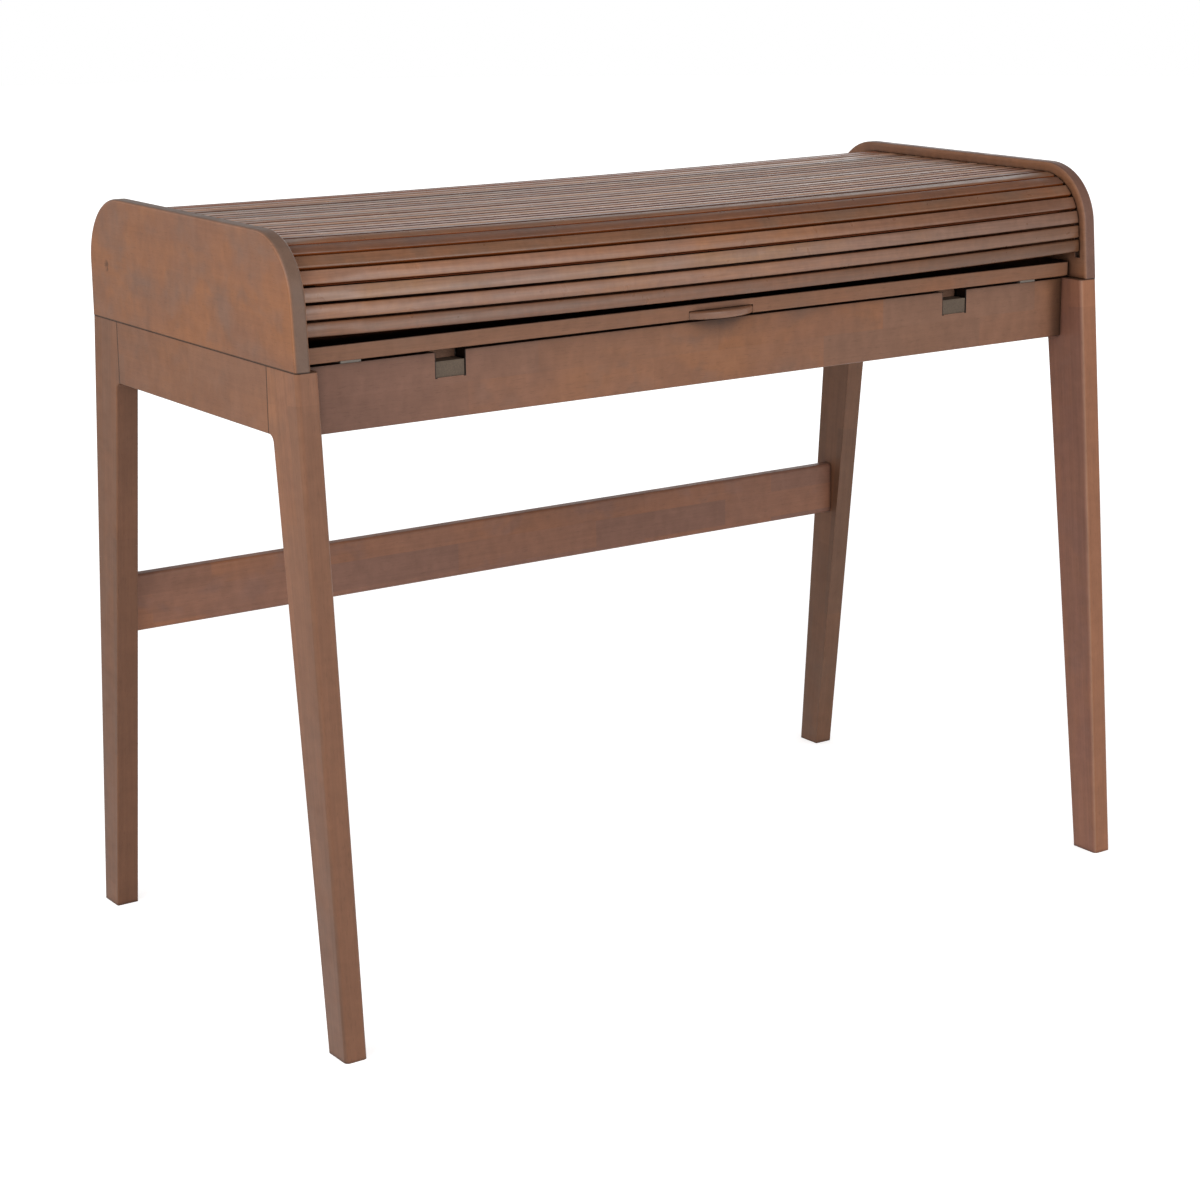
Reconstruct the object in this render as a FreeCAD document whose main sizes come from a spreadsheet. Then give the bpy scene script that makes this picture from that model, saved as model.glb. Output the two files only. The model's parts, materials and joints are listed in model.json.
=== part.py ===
import FreeCAD, Part
import math
import os
import Sketcher

# Tambour desk: a splayed-leg frame, two shaped side panels, and a slatted curtain that is
# drawn open by the pull-out writing top. Millimetres. +X is the sitter's right, +Y the rear,
# +Z up. The origin is on the floor under the middle of the desk.

doc = FreeCAD.newDocument("tambour_desk")
sizes = doc.addObject("Spreadsheet::Sheet", "sizes")
places = doc.addObject("Spreadsheet::Sheet", "places")

# mm, points nearer than this count as the same
TOUCH = 0.01

DRIVING = {
    # whole desk
    "desk_width": 1100.0,
    "frame_height": 720.0,
    "carcass_depth": 485.0,
    "front_lean": 4.5,
    "edge_round": 2.0,
    "seam_round": 1.0,
    # legs
    "foot_depth": 38.0,
    "leg_thickness": 26.0,
    "leg_head_depth": 63.5,
    "leg_hollow": 9.0,
    "leg_round": 5.0,
    # aprons and rear stretcher
    "apron_height": 71.0,
    "front_apron_extra": 1.5,
    "apron_thickness": 19.0,
    "apron_setback": 34.0,
    "apron_drop": 1.5,
    "curtain_rebate": 6.0,
    "stretcher_bottom": 343.0,
    "stretcher_height": 68.0,
    "stretcher_thickness": 18.0,
    "stretcher_round": 4.0,
    # side panels
    "panel_height": 137.0,
    "panel_thickness": 18.0,
    "panel_front_radius": 74.0,
    "panel_rear_radius": 74.0,
    "panel_heel_cut": 4.0,
    "panel_round": 4.0,
    "track_depth": 5.0,
    "track_play": 0.6,
    "track_run_past": 6.0,
    # pull-out writing top
    "top_thickness": 18.0,
    "top_lift": 1.8,
    "top_setback": 29.0,
    "top_side_gap": 2.0,
    "top_travel": 162.0,
    "cleat_depth": 12.0,
    "cleat_gap": 2.0,
    "handle_chord": 88.0,
    "handle_reach": 13.0,
    "handle_thickness": 9.5,
    "handle_seat": 18.0,
    "handle_round": 3.0,
    "handle_play": 0.5,
    # runners, battens and glides
    "runner_inset": 174.0,
    "runner_width": 35.0,
    "runner_height": 17.0,
    "runner_recess": 1.0,
    "notch_depth": 27.0,
    "notch_play": 0.6,
    "batten_play": 0.5,
    "slide_gap": 0.3,
    "glide_inset": 56.0,
    "glide_width": 24.0,
    # tambour
    "slat_count": 36.0,
    "tail_run": 4.0,
    "slat_gap": 2.6,
    "slat_taper": 1.1,
    "slat_thickness": 8.0,
    "slat_shoulder": 3.5,
    "slat_chamfer": 1.2,
    "slat_end_gap": 0.8,
    "tambour_inset": 9.8,
    "tambour_drop": 2.0,
    "tambour_rear_inset": 24.0,
    "tambour_sill": 31.0,
    "lip_radius": 4.0,
    # inner lining
    "lining_gap": 2.0,
    "lining_head_gap": 7.0,
    "floor_thickness": 6.0,
    "floor_overlap": 13.0,
    "back_thickness": 8.0,
    "back_clearance": 8.0,
    "bottom_thickness": 6.0,
    # joinery
    "dowel_diameter": 8.0,
    "dowel_length": 34.0,
    "dowel_clearance": 0.1,
    "dowel_inset": 16.0,
    "dowel_stagger": 14.0,
    "panel_dowel_spread": 130.0,
    "block_leg": 48.0,
    "block_height": 44.0,
    "block_drop": 14.0,
    "screw_diameter": 4.0,
    "screw_head": 8.0,
    "screw_length": 30.0,
    "screw_head_height": 2.5,
    "screw_sink": 10.0,
    "screw_offset": 16.0,
    "screw_stagger": 10.0,
    "screw_clearance": 0.15,
}

# Places worked out from the driving sizes. y runs from the front (-) to the rear (+).
DERIVED = {
    "half_width": "sizes.desk_width / 2",
    "leg_inner_x": "half_width - sizes.leg_thickness",
    "panel_inner_x": "half_width - sizes.panel_thickness",
    "front_y": "-sizes.carcass_depth / 2",
    "rear_y": "sizes.carcass_depth / 2",
    "floor_level": "0",
    "desk_top": "sizes.frame_height + sizes.panel_height",
    "lean": "sizes.front_lean * 1 deg",
    # frame
    "apron_bottom": "sizes.frame_height - sizes.apron_height",
    "apron_top": "sizes.frame_height - sizes.apron_drop",
    "front_apron_bottom": "apron_bottom - sizes.front_apron_extra",
    "rebate_floor": "sizes.frame_height - sizes.curtain_rebate",
    "rebate_width": "sizes.leg_thickness - sizes.panel_thickness",
    "front_apron_y": "front_y + sizes.apron_setback",
    "front_apron_back_y": "front_apron_y + sizes.apron_thickness",
    "foot_outer_y": "front_y - sizes.frame_height * tan(lean)",
    "foot_inner_y": "foot_outer_y + sizes.foot_depth",
    "leg_head_y": "front_y + sizes.leg_head_depth",
    "hollow_centre_z": "apron_bottom - sizes.leg_hollow",
    "hollow_reach": "sqrt((leg_head_y - foot_inner_y)^2 + hollow_centre_z^2)",
    "hollow_line": "sqrt(hollow_reach^2 - sizes.leg_hollow^2)",
    "hollow_angle": "atan2(hollow_centre_z; leg_head_y - foot_inner_y)"
                    " + asin(sizes.leg_hollow / hollow_reach)",
    "hollow_y": "foot_inner_y + hollow_line * cos(hollow_angle)",
    "hollow_z": "hollow_line * sin(hollow_angle)",
    "stretcher_top": "sizes.stretcher_bottom + sizes.stretcher_height",
    "stretcher_mid_z": "sizes.stretcher_bottom + sizes.stretcher_height / 2",
    "leg_outer_at_stretcher": "front_y - (sizes.frame_height - stretcher_mid_z) * tan(lean)",
    "leg_inner_at_stretcher": "foot_inner_y + (hollow_y - foot_inner_y)"
                              " * stretcher_mid_z / hollow_z",
    "stretcher_y": "-(leg_outer_at_stretcher + leg_inner_at_stretcher) / 2",
    "stretcher_back_y": "stretcher_y + sizes.stretcher_thickness / 2",
    # side panels
    "front_arc_z": "desk_top - sizes.panel_front_radius",
    "front_tangent_z": "front_arc_z + sizes.panel_front_radius * sin(lean)",
    "front_tangent_y": "front_y + (front_tangent_z - sizes.frame_height) * tan(lean)",
    "front_arc_y": "front_tangent_y + sizes.panel_front_radius * cos(lean)",
    "rear_arc_z": "desk_top - sizes.panel_rear_radius",
    "rear_arc_y": "rear_y - sizes.panel_rear_radius",
    "heel_y": "rear_y - sizes.panel_heel_cut",
    "heel_z": "sizes.frame_height + sizes.panel_heel_cut",
    # writing top
    "top_bottom": "sizes.frame_height + sizes.top_lift",
    "top_surface": "top_bottom + sizes.top_thickness",
    "top_front_y": "front_y + sizes.top_setback",
    "top_half_width": "panel_inner_x - sizes.top_side_gap",
    "handle_half": "sizes.handle_chord / 2",
    "handle_radius": "(handle_half^2 + sizes.handle_reach^2) / (2 * sizes.handle_reach)",
    "handle_seat_y": "top_front_y + sizes.handle_seat",
    "handle_lip_y": "top_front_y - sizes.handle_reach",
    "recess_half": "handle_half + sizes.handle_play",
    "recess_height": "sizes.handle_thickness + sizes.handle_play",
    # the curtain's track: middle line of the slats; its front bend is centred below the
    # panel's by the drop, down the slope of the front edge
    "track_inset": "sizes.tambour_inset + sizes.slat_thickness / 2",
    "track_front_radius": "sizes.panel_front_radius - track_inset",
    "track_front_y": "front_arc_y - sizes.tambour_drop * tan(lean)",
    "track_front_z": "front_arc_z - sizes.tambour_drop",
    "track_top_z": "desk_top - track_inset - sizes.tambour_drop",
    "track_low_z": "top_bottom + sizes.top_thickness / 2",
    "track_rear_radius": "(track_top_z - track_low_z) / 2",
    "track_rear_z": "track_low_z + track_rear_radius",
    "track_rear_y": "rear_y - sizes.tambour_rear_inset - sizes.slat_thickness / 2"
                    " - track_rear_radius",
    "sill_z": "sizes.frame_height + sizes.tambour_sill",
    "track_tangent_z": "track_front_z + track_front_radius * sin(lean)",
    "track_tangent_y": "track_front_y - track_front_radius * cos(lean)",
    "run_front": "(track_tangent_z - sill_z) / cos(lean)",
    "run_front_arc": "track_front_radius * pi * (90 - sizes.front_lean) / 180",
    "run_flat": "track_rear_y - track_front_y",
    "run_rear_arc": "track_rear_radius * pi",
    "run_to_low": "run_front + run_front_arc + run_flat + run_rear_arc",
    "slat_pitch": "(run_to_low + sizes.tail_run) / sizes.slat_count",
    "tail_y": "track_rear_y - sizes.tail_run",
    "cleat_back_y": "tail_y - sizes.cleat_gap",
    "cleat_front_y": "cleat_back_y - sizes.cleat_depth",
    # the groove cut for that track
    "groove_half": "(sizes.slat_thickness + sizes.track_play) / 2",
    "groove_outer_radius": "track_front_radius + groove_half",
    "groove_inner_radius": "track_front_radius - groove_half",
    "groove_rear_outer": "track_rear_radius + groove_half",
    "groove_rear_inner": "track_rear_radius - groove_half",
    "groove_foot_z": "sill_z - sizes.track_run_past",
    "groove_foot_y": "track_tangent_y - (track_tangent_z - groove_foot_z) * tan(lean)",
    "groove_foot_outer_y": "groove_foot_y - groove_half / cos(lean)",
    "groove_foot_inner_y": "groove_foot_y + groove_half / cos(lean)",
    "groove_out_tangent_y": "track_front_y - groove_outer_radius * cos(lean)",
    "groove_out_tangent_z": "track_front_z + groove_outer_radius * sin(lean)",
    "groove_in_tangent_y": "track_front_y - groove_inner_radius * cos(lean)",
    "groove_in_tangent_z": "track_front_z + groove_inner_radius * sin(lean)",
    "groove_top_outer_z": "track_top_z + groove_half",
    "groove_top_inner_z": "track_top_z - groove_half",
    "groove_low_outer_z": "track_low_z - groove_half",
    "groove_low_inner_z": "track_low_z + groove_half",
    "groove_rear_outer_y": "track_rear_y + groove_rear_outer",
    "groove_rear_inner_y": "track_rear_y + groove_rear_inner",
    "groove_end_y": "tail_y - sizes.top_travel - sizes.track_run_past",
    # runners, battens, glides
    "runner_x": "leg_inner_x - sizes.runner_inset",
    "runner_in_x": "runner_x - sizes.runner_width / 2",
    "runner_out_x": "runner_x + sizes.runner_width / 2",
    "notch_floor": "apron_top - sizes.notch_depth",
    "runner_top": "notch_floor + sizes.runner_height",
    "batten_bottom": "runner_top + sizes.slide_gap",
    "glide_top": "top_bottom - sizes.slide_gap",
    "runner_front_y": "front_apron_y + sizes.runner_recess",
    "notch_in_x": "runner_in_x - sizes.notch_play",
    "notch_out_x": "runner_out_x + sizes.notch_play",
    "rear_apron_y": "rear_y - sizes.apron_setback",
    "rear_apron_front_y": "rear_apron_y - sizes.apron_thickness",
    "batten_in_x": "runner_in_x + sizes.batten_play",
    "batten_out_x": "runner_out_x - sizes.batten_play",
    "batten_front_y": "front_apron_back_y + sizes.batten_play",
    "glide_out_x": "leg_inner_x - sizes.glide_inset + sizes.glide_width / 2",
    "glide_in_x": "glide_out_x - sizes.glide_width",
    "glide_front_y": "front_apron_y + sizes.runner_recess",
    # inner lining
    "floor_bottom": "top_surface + sizes.lining_gap",
    "floor_top": "floor_bottom + sizes.floor_thickness",
    "floor_front_y": "cleat_front_y - sizes.top_travel - sizes.floor_overlap",
    "lining_back_y": "track_rear_y - sizes.back_clearance",
    "lining_front_y": "lining_back_y - sizes.back_thickness",
    "lining_top": "track_top_z - sizes.slat_thickness / 2 - sizes.lining_head_gap",
    # slat section, about its own middle
    "slat_half_face": "(slat_pitch - sizes.slat_gap) / 2",
    "slat_half_back": "slat_half_face - sizes.slat_taper",
    "slat_outer": "sizes.slat_thickness / 2",
    "slat_shoulder_z": "sizes.slat_shoulder - slat_outer",
    "slat_chamfer_y": "slat_half_face - sizes.slat_chamfer",
    "slat_chamfer_z": "slat_outer - sizes.slat_chamfer",
    "slat_end_x": "panel_inner_x - sizes.slat_end_gap",
    "slat_length": "2 * slat_end_x",
    # joinery
    "panel_dowel_x": "half_width - (sizes.panel_thickness - sizes.track_depth) / 2",
    "block_far_x": "leg_inner_x - sizes.block_leg",
    "block_far_y": "front_apron_back_y + sizes.block_leg",
    "block_bottom": "apron_bottom + sizes.block_drop",
    "bottom_low": "block_bottom - sizes.bottom_thickness",
    "screw_seat": "sizes.block_leg - sizes.screw_offset - sizes.screw_sink",
}


def fill_sheets():
    # driving sizes go in as plain numbers, places as formulas on them
    for row, (alias, value) in enumerate(DRIVING.items(), start=1):
        sizes.set(f"B{row}", str(value))
        sizes.setAlias(f"B{row}", alias)
    for row, alias in enumerate(DERIVED, start=1):
        places.setAlias(f"B{row}", alias)
    for row, formula in enumerate(DERIVED.values(), start=1):
        places.set(f"B{row}", "=" + formula)
    doc.recompute()


def cell(alias):
    # an alias as an expression on its sheet; a leading minus mirrors it
    sign = "-" if alias.startswith("-") else ""
    word = alias.lstrip("-")
    sheet = "sizes" if word in DRIVING else "places"
    return f"{sign}{sheet}.{word}"


def value(alias):
    # the number that an alias stands for now
    word = alias.lstrip("-")
    sheet = sizes if word in DRIVING else places
    number = float(FreeCAD.Units.Quantity(str(sheet.get(word))).Value)
    return -number if alias.startswith("-") else number


# ---- sketching helpers

def new_sketch(body, role, name, offset=None):
    # a sketch on one of the body's own origin planes, moved along its normal
    sketch = body.newObject("Sketcher::SketchObject", name)
    plane = [feature for feature in body.Origin.OriginFeatures if feature.Role == role][0]
    sketch.AttachmentSupport = [(plane, "")]
    sketch.MapMode = "FlatFace"
    if offset:
        sketch.setExpression("AttachmentOffset.Base.z", cell(offset))
    return sketch


def arc_between(start, end, radius, turn):
    # the shorter arc from start to end; turn is +1 with its centre on the left
    chord = end - start
    left = FreeCAD.Vector(-chord.y, chord.x, 0).normalize() * turn
    rise = math.sqrt(max(radius ** 2 - (chord.Length / 2) ** 2, 0))
    centre = start + chord * 0.5 + left * rise
    first, last = (start, end) if turn > 0 else (end, start)
    from_angle = math.atan2(first.y - centre.y, first.x - centre.x)
    to_angle = math.atan2(last.y - centre.y, last.x - centre.x)
    circle = Part.Circle(centre, FreeCAD.Vector(0, 0, 1), radius)
    return Part.ArcOfCircle(circle, from_angle, to_angle)


def draw_outline(sketch, corners):
    # corners: (across, up) aliases, with (radius, turn) added where an arc leaves the corner
    points = [FreeCAD.Vector(value(corner[0]), value(corner[1]), 0) for corner in corners]
    ends = []
    for index, corner in enumerate(corners):
        start = points[index]
        end = points[(index + 1) % len(points)]
        if len(corner) == 2:
            edge = sketch.addGeometry(Part.LineSegment(start, end), False)
            ends.append((edge, 1, 2))
        else:
            radius, turn = corner[2], corner[3]
            edge = sketch.addGeometry(arc_between(start, end, value(radius), turn), False)
            ends.append((edge, 1, 2) if turn > 0 else (edge, 2, 1))
            pin = sketch.addConstraint(Sketcher.Constraint("Radius", edge, value(radius)))
            sketch.setExpression(f"Constraints[{pin}]", cell(radius))
    for index, corner in enumerate(corners):
        edge, first, last = ends[index]
        after, after_first, after_last = ends[(index + 1) % len(ends)]
        sketch.addConstraint(Sketcher.Constraint("Coincident", edge, last, after, after_first))
        for kind, alias in (("DistanceX", corner[0]), ("DistanceY", corner[1])):
            rule = Sketcher.Constraint(kind, -1, 1, edge, first, value(alias))
            pin = sketch.addConstraint(rule)
            sketch.setExpression(f"Constraints[{pin}]", cell(alias))


def pad(body, sketch, length, name):
    feature = body.newObject("PartDesign::Pad", name)
    feature.Profile = sketch
    feature.setExpression("Length", cell(length))
    return feature


def pocket(body, sketch, depth, name, reverse):
    # cuts along the sketch's normal when reverse is set, and must take material away
    doc.recompute()
    before = body.Shape.Volume
    feature = body.newObject("PartDesign::Pocket", name)
    feature.Profile = sketch
    feature.setExpression("Length", cell(depth))
    feature.Reversed = reverse
    doc.recompute()
    if body.Shape.Volume >= before:
        raise RuntimeError(f"{name} cuts nothing")
    return feature


def round_edges(body, base, radius, keep, name):
    # rounds the edges of base whose ends and middle all pass the test
    doc.recompute()
    chosen = []
    for index, edge in enumerate(base.Shape.Edges, start=1):
        ends = [vertex.Point for vertex in edge.Vertexes]
        if all(keep(point) for point in ends + [edge.CenterOfMass]):
            chosen.append(f"Edge{index}")
    feature = body.newObject("PartDesign::Fillet", name)
    feature.Base = (base, chosen)
    feature.setExpression("Radius", cell(radius))
    return feature


def near(first, second):
    return abs(first - second) < TOUCH


# ---- pieces

pieces = {}     # node name -> document object


def name_piece(thing, node):
    thing.Label = node
    pieces[node] = thing
    return thing


def new_body(name):
    return doc.addObject("PartDesign::Body", name)


def block(name, spans):
    # a plain box from three (low, high) pairs of aliases, in X, Y, Z order
    box = doc.addObject("Part::Box", name)
    for axis, side, (low, high) in zip("xyz", ("Length", "Width", "Height"), spans):
        box.setExpression(side, f"{cell(high)} - ({cell(low)})")
        box.setExpression(f"Placement.Base.{axis}", cell(low))
    return box


def mirror(source, name, across):
    # a mirrored twin; across is the axis that changes sign
    twin = doc.addObject("Part::Mirroring", name)
    twin.Source = source
    twin.Normal = FreeCAD.Vector(*(1 if axis == across else 0 for axis in "xyz"))
    return twin


def gather(name, things):
    group = doc.addObject("Part::Compound", name)
    group.Links = things
    return group


def bore(thing, tool, node):
    # the same piece with the dowel or screw holes drilled
    drilled = doc.addObject("Part::Cut", f"{node}_drilled")
    drilled.Base = thing
    drilled.Tool = tool
    return name_piece(drilled, node)


def make_leg():
    # front right leg: wide flush head, hollow under the apron, straight taper to the foot
    body = new_body("leg_blank")
    sketch = new_sketch(body, "YZ_Plane", "leg_outline", "leg_inner_x")
    draw_outline(sketch, [
        ("foot_outer_y", "floor_level"),
        ("foot_inner_y", "floor_level"),
        ("hollow_y", "hollow_z", "leg_hollow", -1),
        ("leg_head_y", "apron_bottom"),
        ("leg_head_y", "frame_height"),
        ("front_y", "frame_height"),
    ])
    leg = pad(body, sketch, "leg_thickness", "leg_pad")
    outer = value("half_width")
    middle = outer - value("leg_thickness") / 2
    top = value("frame_height")
    front_slope = math.tan(math.radians(value("front_lean")))

    def on_front(point):
        # the front face's two long edges, which lean with the whole desk front
        lean_y = value("front_y") - (top - point.z) * front_slope
        return near(point.y, lean_y)

    def on_front_arris(point):
        return on_front(point) and abs(point.x - middle) > TOUCH
    eased = round_edges(body, leg, "leg_round", on_front_arris, "leg_front_arrises")
    doc.recompute()
    foot = value("foot_inner_y")
    hollow = value("hollow_y")

    def on_outer_back(point):
        # the taper's rear edge; the rounding runs on round the hollow
        return near(point.x, outer) and foot - TOUCH <= point.y <= hollow + TOUCH
    eased = round_edges(body, eased, "edge_round", on_outer_back, "leg_back_arris")
    doc.recompute()

    def on_outer_top(point):
        return near(point.x, outer) and near(point.z, top)
    round_edges(body, eased, "seam_round", on_outer_top, "leg_top_arris")
    return body


def make_side_apron():
    # right side apron, flush with the legs' outer faces, its inner top edge cut back so that
    # the curtain can swing past
    body = new_body("side_apron_blank")
    sketch = new_sketch(body, "YZ_Plane", "side_apron_outline", "leg_inner_x")
    draw_outline(sketch, [
        ("leg_head_y", "apron_bottom"),
        ("-leg_head_y", "apron_bottom"),
        ("-leg_head_y", "frame_height"),
        ("leg_head_y", "frame_height"),
    ])
    apron = pad(body, sketch, "leg_thickness", "side_apron_pad")
    outer = value("half_width")
    low = value("apron_bottom")
    high = value("frame_height")
    eased = round_edges(body, apron, "edge_round",
                        lambda point: near(point.x, outer) and near(point.z, low),
                        "side_apron_low_arris")
    round_edges(body, eased, "seam_round",
                lambda point: near(point.x, outer) and near(point.z, high),
                "side_apron_top_arris")
    rebate = new_sketch(body, "YZ_Plane", "curtain_rebate_outline", "leg_inner_x")
    draw_outline(rebate, [
        ("leg_head_y", "rebate_floor"),
        ("-leg_head_y", "rebate_floor"),
        ("-leg_head_y", "frame_height"),
        ("leg_head_y", "frame_height"),
    ])
    pocket(body, rebate, "rebate_width", "curtain_rebate", True)
    return body


def make_front_apron():
    # rail between the front legs, notched from above for the two runners
    body = new_body("front_apron_blank")
    sketch = new_sketch(body, "XZ_Plane", "front_apron_outline", "-front_apron_back_y")
    draw_outline(sketch, [
        ("-leg_inner_x", "front_apron_bottom"),
        ("leg_inner_x", "front_apron_bottom"),
        ("leg_inner_x", "apron_top"),
        ("notch_out_x", "apron_top"),
        ("notch_out_x", "notch_floor"),
        ("notch_in_x", "notch_floor"),
        ("notch_in_x", "apron_top"),
        ("-notch_in_x", "apron_top"),
        ("-notch_in_x", "notch_floor"),
        ("-notch_out_x", "notch_floor"),
        ("-notch_out_x", "apron_top"),
        ("-leg_inner_x", "apron_top"),
    ])
    apron = pad(body, sketch, "apron_thickness", "front_apron_pad")
    front = value("front_apron_y")
    low = value("front_apron_bottom")
    round_edges(body, apron, "edge_round",
                lambda point: near(point.y, front) and near(point.z, low), "front_apron_arris")
    return body


def make_rail(name, bottom, top, back, thickness, radius):
    # a straight rail between the rear legs, with its four long arrises rounded
    body = new_body(f"{name}_blank")
    sketch = new_sketch(body, "XZ_Plane", f"{name}_outline", f"-{back}")
    draw_outline(sketch, [
        ("-leg_inner_x", bottom),
        ("leg_inner_x", bottom),
        ("leg_inner_x", top),
        ("-leg_inner_x", top),
    ])
    rail = pad(body, sketch, thickness, f"{name}_pad")
    doc.recompute()
    long_edges = [f"Edge{index}" for index, edge in enumerate(rail.Shape.Edges, start=1)
                  if near(edge.Length, 2 * value("leg_inner_x"))]
    fillet = body.newObject("PartDesign::Fillet", f"{name}_arrises")
    fillet.Base = (rail, long_edges)
    fillet.setExpression("Radius", cell(radius))
    return body


def make_side_panel():
    # right side panel: leaning front edge, rounded shoulders, and the curtain's groove inside
    body = new_body("side_panel_blank")
    sketch = new_sketch(body, "YZ_Plane", "side_panel_outline", "panel_inner_x")
    draw_outline(sketch, [
        ("front_y", "frame_height"),
        ("heel_y", "frame_height"),
        ("rear_y", "heel_z"),
        ("rear_y", "rear_arc_z", "panel_rear_radius", 1),
        ("rear_arc_y", "desk_top"),
        ("front_arc_y", "desk_top", "panel_front_radius", 1),
        ("front_tangent_y", "front_tangent_z"),
    ])
    panel = pad(body, sketch, "panel_thickness", "side_panel_pad")
    faces = (value("half_width"), value("panel_inner_x"))
    front = value("front_y")
    base = value("frame_height")

    def on_shaped_edge(point):
        # front, top and rear edges on both faces, but not the heel and the foot of the panel
        on_face = any(near(point.x, face) for face in faces)
        return on_face and (point.z > base + TOUCH or near(point.y, front))
    round_edges(body, panel, "panel_round", on_shaped_edge, "side_panel_arrises")
    groove = new_sketch(body, "YZ_Plane", "track_outline", "panel_inner_x")
    draw_outline(groove, [
        ("groove_foot_outer_y", "groove_foot_z"),
        ("groove_out_tangent_y", "groove_out_tangent_z", "groove_outer_radius", -1),
        ("track_front_y", "groove_top_outer_z"),
        ("track_rear_y", "groove_top_outer_z", "groove_rear_outer", -1),
        ("groove_rear_outer_y", "track_rear_z", "groove_rear_outer", -1),
        ("track_rear_y", "groove_low_outer_z"),
        ("groove_end_y", "groove_low_outer_z"),
        ("groove_end_y", "groove_low_inner_z"),
        ("track_rear_y", "groove_low_inner_z", "groove_rear_inner", 1),
        ("groove_rear_inner_y", "track_rear_z", "groove_rear_inner", 1),
        ("track_rear_y", "groove_top_inner_z"),
        ("track_front_y", "groove_top_inner_z", "groove_inner_radius", 1),
        ("groove_in_tangent_y", "groove_in_tangent_z"),
        ("groove_foot_inner_y", "groove_foot_z"),
    ])
    pocket(body, groove, "track_depth", "track_groove", True)
    return body


def make_writing_top():
    # the pull-out top, recessed under its front edge for the handle
    body = new_body("writing_top_board")
    sketch = new_sketch(body, "XY_Plane", "writing_top_outline", "top_bottom")
    draw_outline(sketch, [
        ("-top_half_width", "top_front_y"),
        ("top_half_width", "top_front_y"),
        ("top_half_width", "cleat_front_y"),
        ("-top_half_width", "cleat_front_y"),
    ])
    board = pad(body, sketch, "top_thickness", "writing_top_pad")
    front = value("top_front_y")
    round_edges(body, board, "edge_round", lambda point: near(point.y, front), "top_front_arris")
    recess = new_sketch(body, "XY_Plane", "handle_recess_outline", "top_bottom")
    draw_outline(recess, [
        ("-recess_half", "handle_lip_y"),
        ("recess_half", "handle_lip_y"),
        ("recess_half", "handle_seat_y"),
        ("-recess_half", "handle_seat_y"),
    ])
    pocket(body, recess, "recess_height", "handle_recess", True)
    return name_piece(body, "writing_top")


def make_pull_handle():
    # half-moon lip, its straight part glued into the recess
    body = new_body("pull_handle_lip")
    sketch = new_sketch(body, "XY_Plane", "handle_outline", "top_bottom")
    draw_outline(sketch, [
        ("-handle_half", "top_front_y", "handle_radius", 1),
        ("handle_half", "top_front_y"),
        ("handle_half", "handle_seat_y"),
        ("-handle_half", "handle_seat_y"),
    ])
    lip = pad(body, sketch, "handle_thickness", "handle_pad")
    doc.recompute()
    curved = [f"Edge{index}" for index, edge in enumerate(lip.Shape.Edges, start=1)
              if edge.Curve.TypeId == "Part::GeomCircle"]
    fillet = body.newObject("PartDesign::Fillet", "handle_soft_edge")
    fillet.Base = (lip, curved)
    fillet.setExpression("Radius", cell("handle_round"))
    return name_piece(body, "pull_handle")


def track_pose(distance):
    # place and heading of the curtain's middle line, measured along it from its front sill
    run_front = value("run_front")
    run_arc = value("run_front_arc")
    run_flat = value("run_flat")
    lean = math.radians(value("front_lean"))
    if distance < run_front:
        back = run_front - distance
        y = value("track_tangent_y") - back * math.sin(lean)
        z = value("track_tangent_z") - back * math.cos(lean)
        return y, z, math.pi / 2 - lean
    distance -= run_front
    if distance < run_arc:
        radius = value("track_front_radius")
        heading = math.pi / 2 - lean - distance / radius
        y = value("track_front_y") - radius * math.sin(heading)
        z = value("track_front_z") + radius * math.cos(heading)
        return y, z, heading
    distance -= run_arc
    if distance < run_flat:
        return value("track_front_y") + distance, value("track_top_z"), 0.0
    distance -= run_flat
    if distance < value("run_rear_arc"):
        radius = value("track_rear_radius")
        heading = -distance / radius
        y = value("track_rear_y") - radius * math.sin(heading)
        z = value("track_rear_z") + radius * math.cos(heading)
        return y, z, heading
    distance -= value("run_rear_arc")
    return value("track_rear_y") - distance, value("track_low_z"), -math.pi


def make_slat(number):
    # one slat: chamfered face, narrower back so the curtain can bend inwards
    node = f"tambour_slat_{number:02d}"
    body = new_body(f"{node}_body")
    sketch = new_sketch(body, "YZ_Plane", f"{node}_section", "-slat_end_x")
    draw_outline(sketch, [
        ("-slat_half_back", "-slat_outer"),
        ("slat_half_back", "-slat_outer"),
        ("slat_half_face", "slat_shoulder_z"),
        ("slat_half_face", "slat_chamfer_z"),
        ("slat_chamfer_y", "slat_outer"),
        ("-slat_chamfer_y", "slat_outer"),
        ("-slat_half_face", "slat_chamfer_z"),
        ("-slat_half_face", "slat_shoulder_z"),
    ])
    slat = pad(body, sketch, "slat_length", f"{node}_pad")
    if number == 1:
        edge_y = -value("slat_half_face")
        edge_z = value("slat_chamfer_z")
        round_edges(body, slat, "lip_radius",
                    lambda point: near(point.y, edge_y) and near(point.z, edge_z), "lip_arris")
    y, z, heading = track_pose((number - 0.5) * value("slat_pitch"))
    turn = FreeCAD.Rotation(FreeCAD.Vector(1, 0, 0), math.degrees(heading))
    body.Placement = FreeCAD.Placement(FreeCAD.Vector(0, y, z), turn)
    return name_piece(body, node)


def make_corner_block():
    # triangular glue block behind the front apron, right end
    body = new_body("corner_block_blank")
    sketch = new_sketch(body, "XY_Plane", "corner_block_outline", "block_bottom")
    draw_outline(sketch, [
        ("leg_inner_x", "front_apron_back_y"),
        ("leg_inner_x", "block_far_y"),
        ("block_far_x", "front_apron_back_y"),
    ])
    pad(body, sketch, "block_height", "corner_block_pad")
    return body


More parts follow.
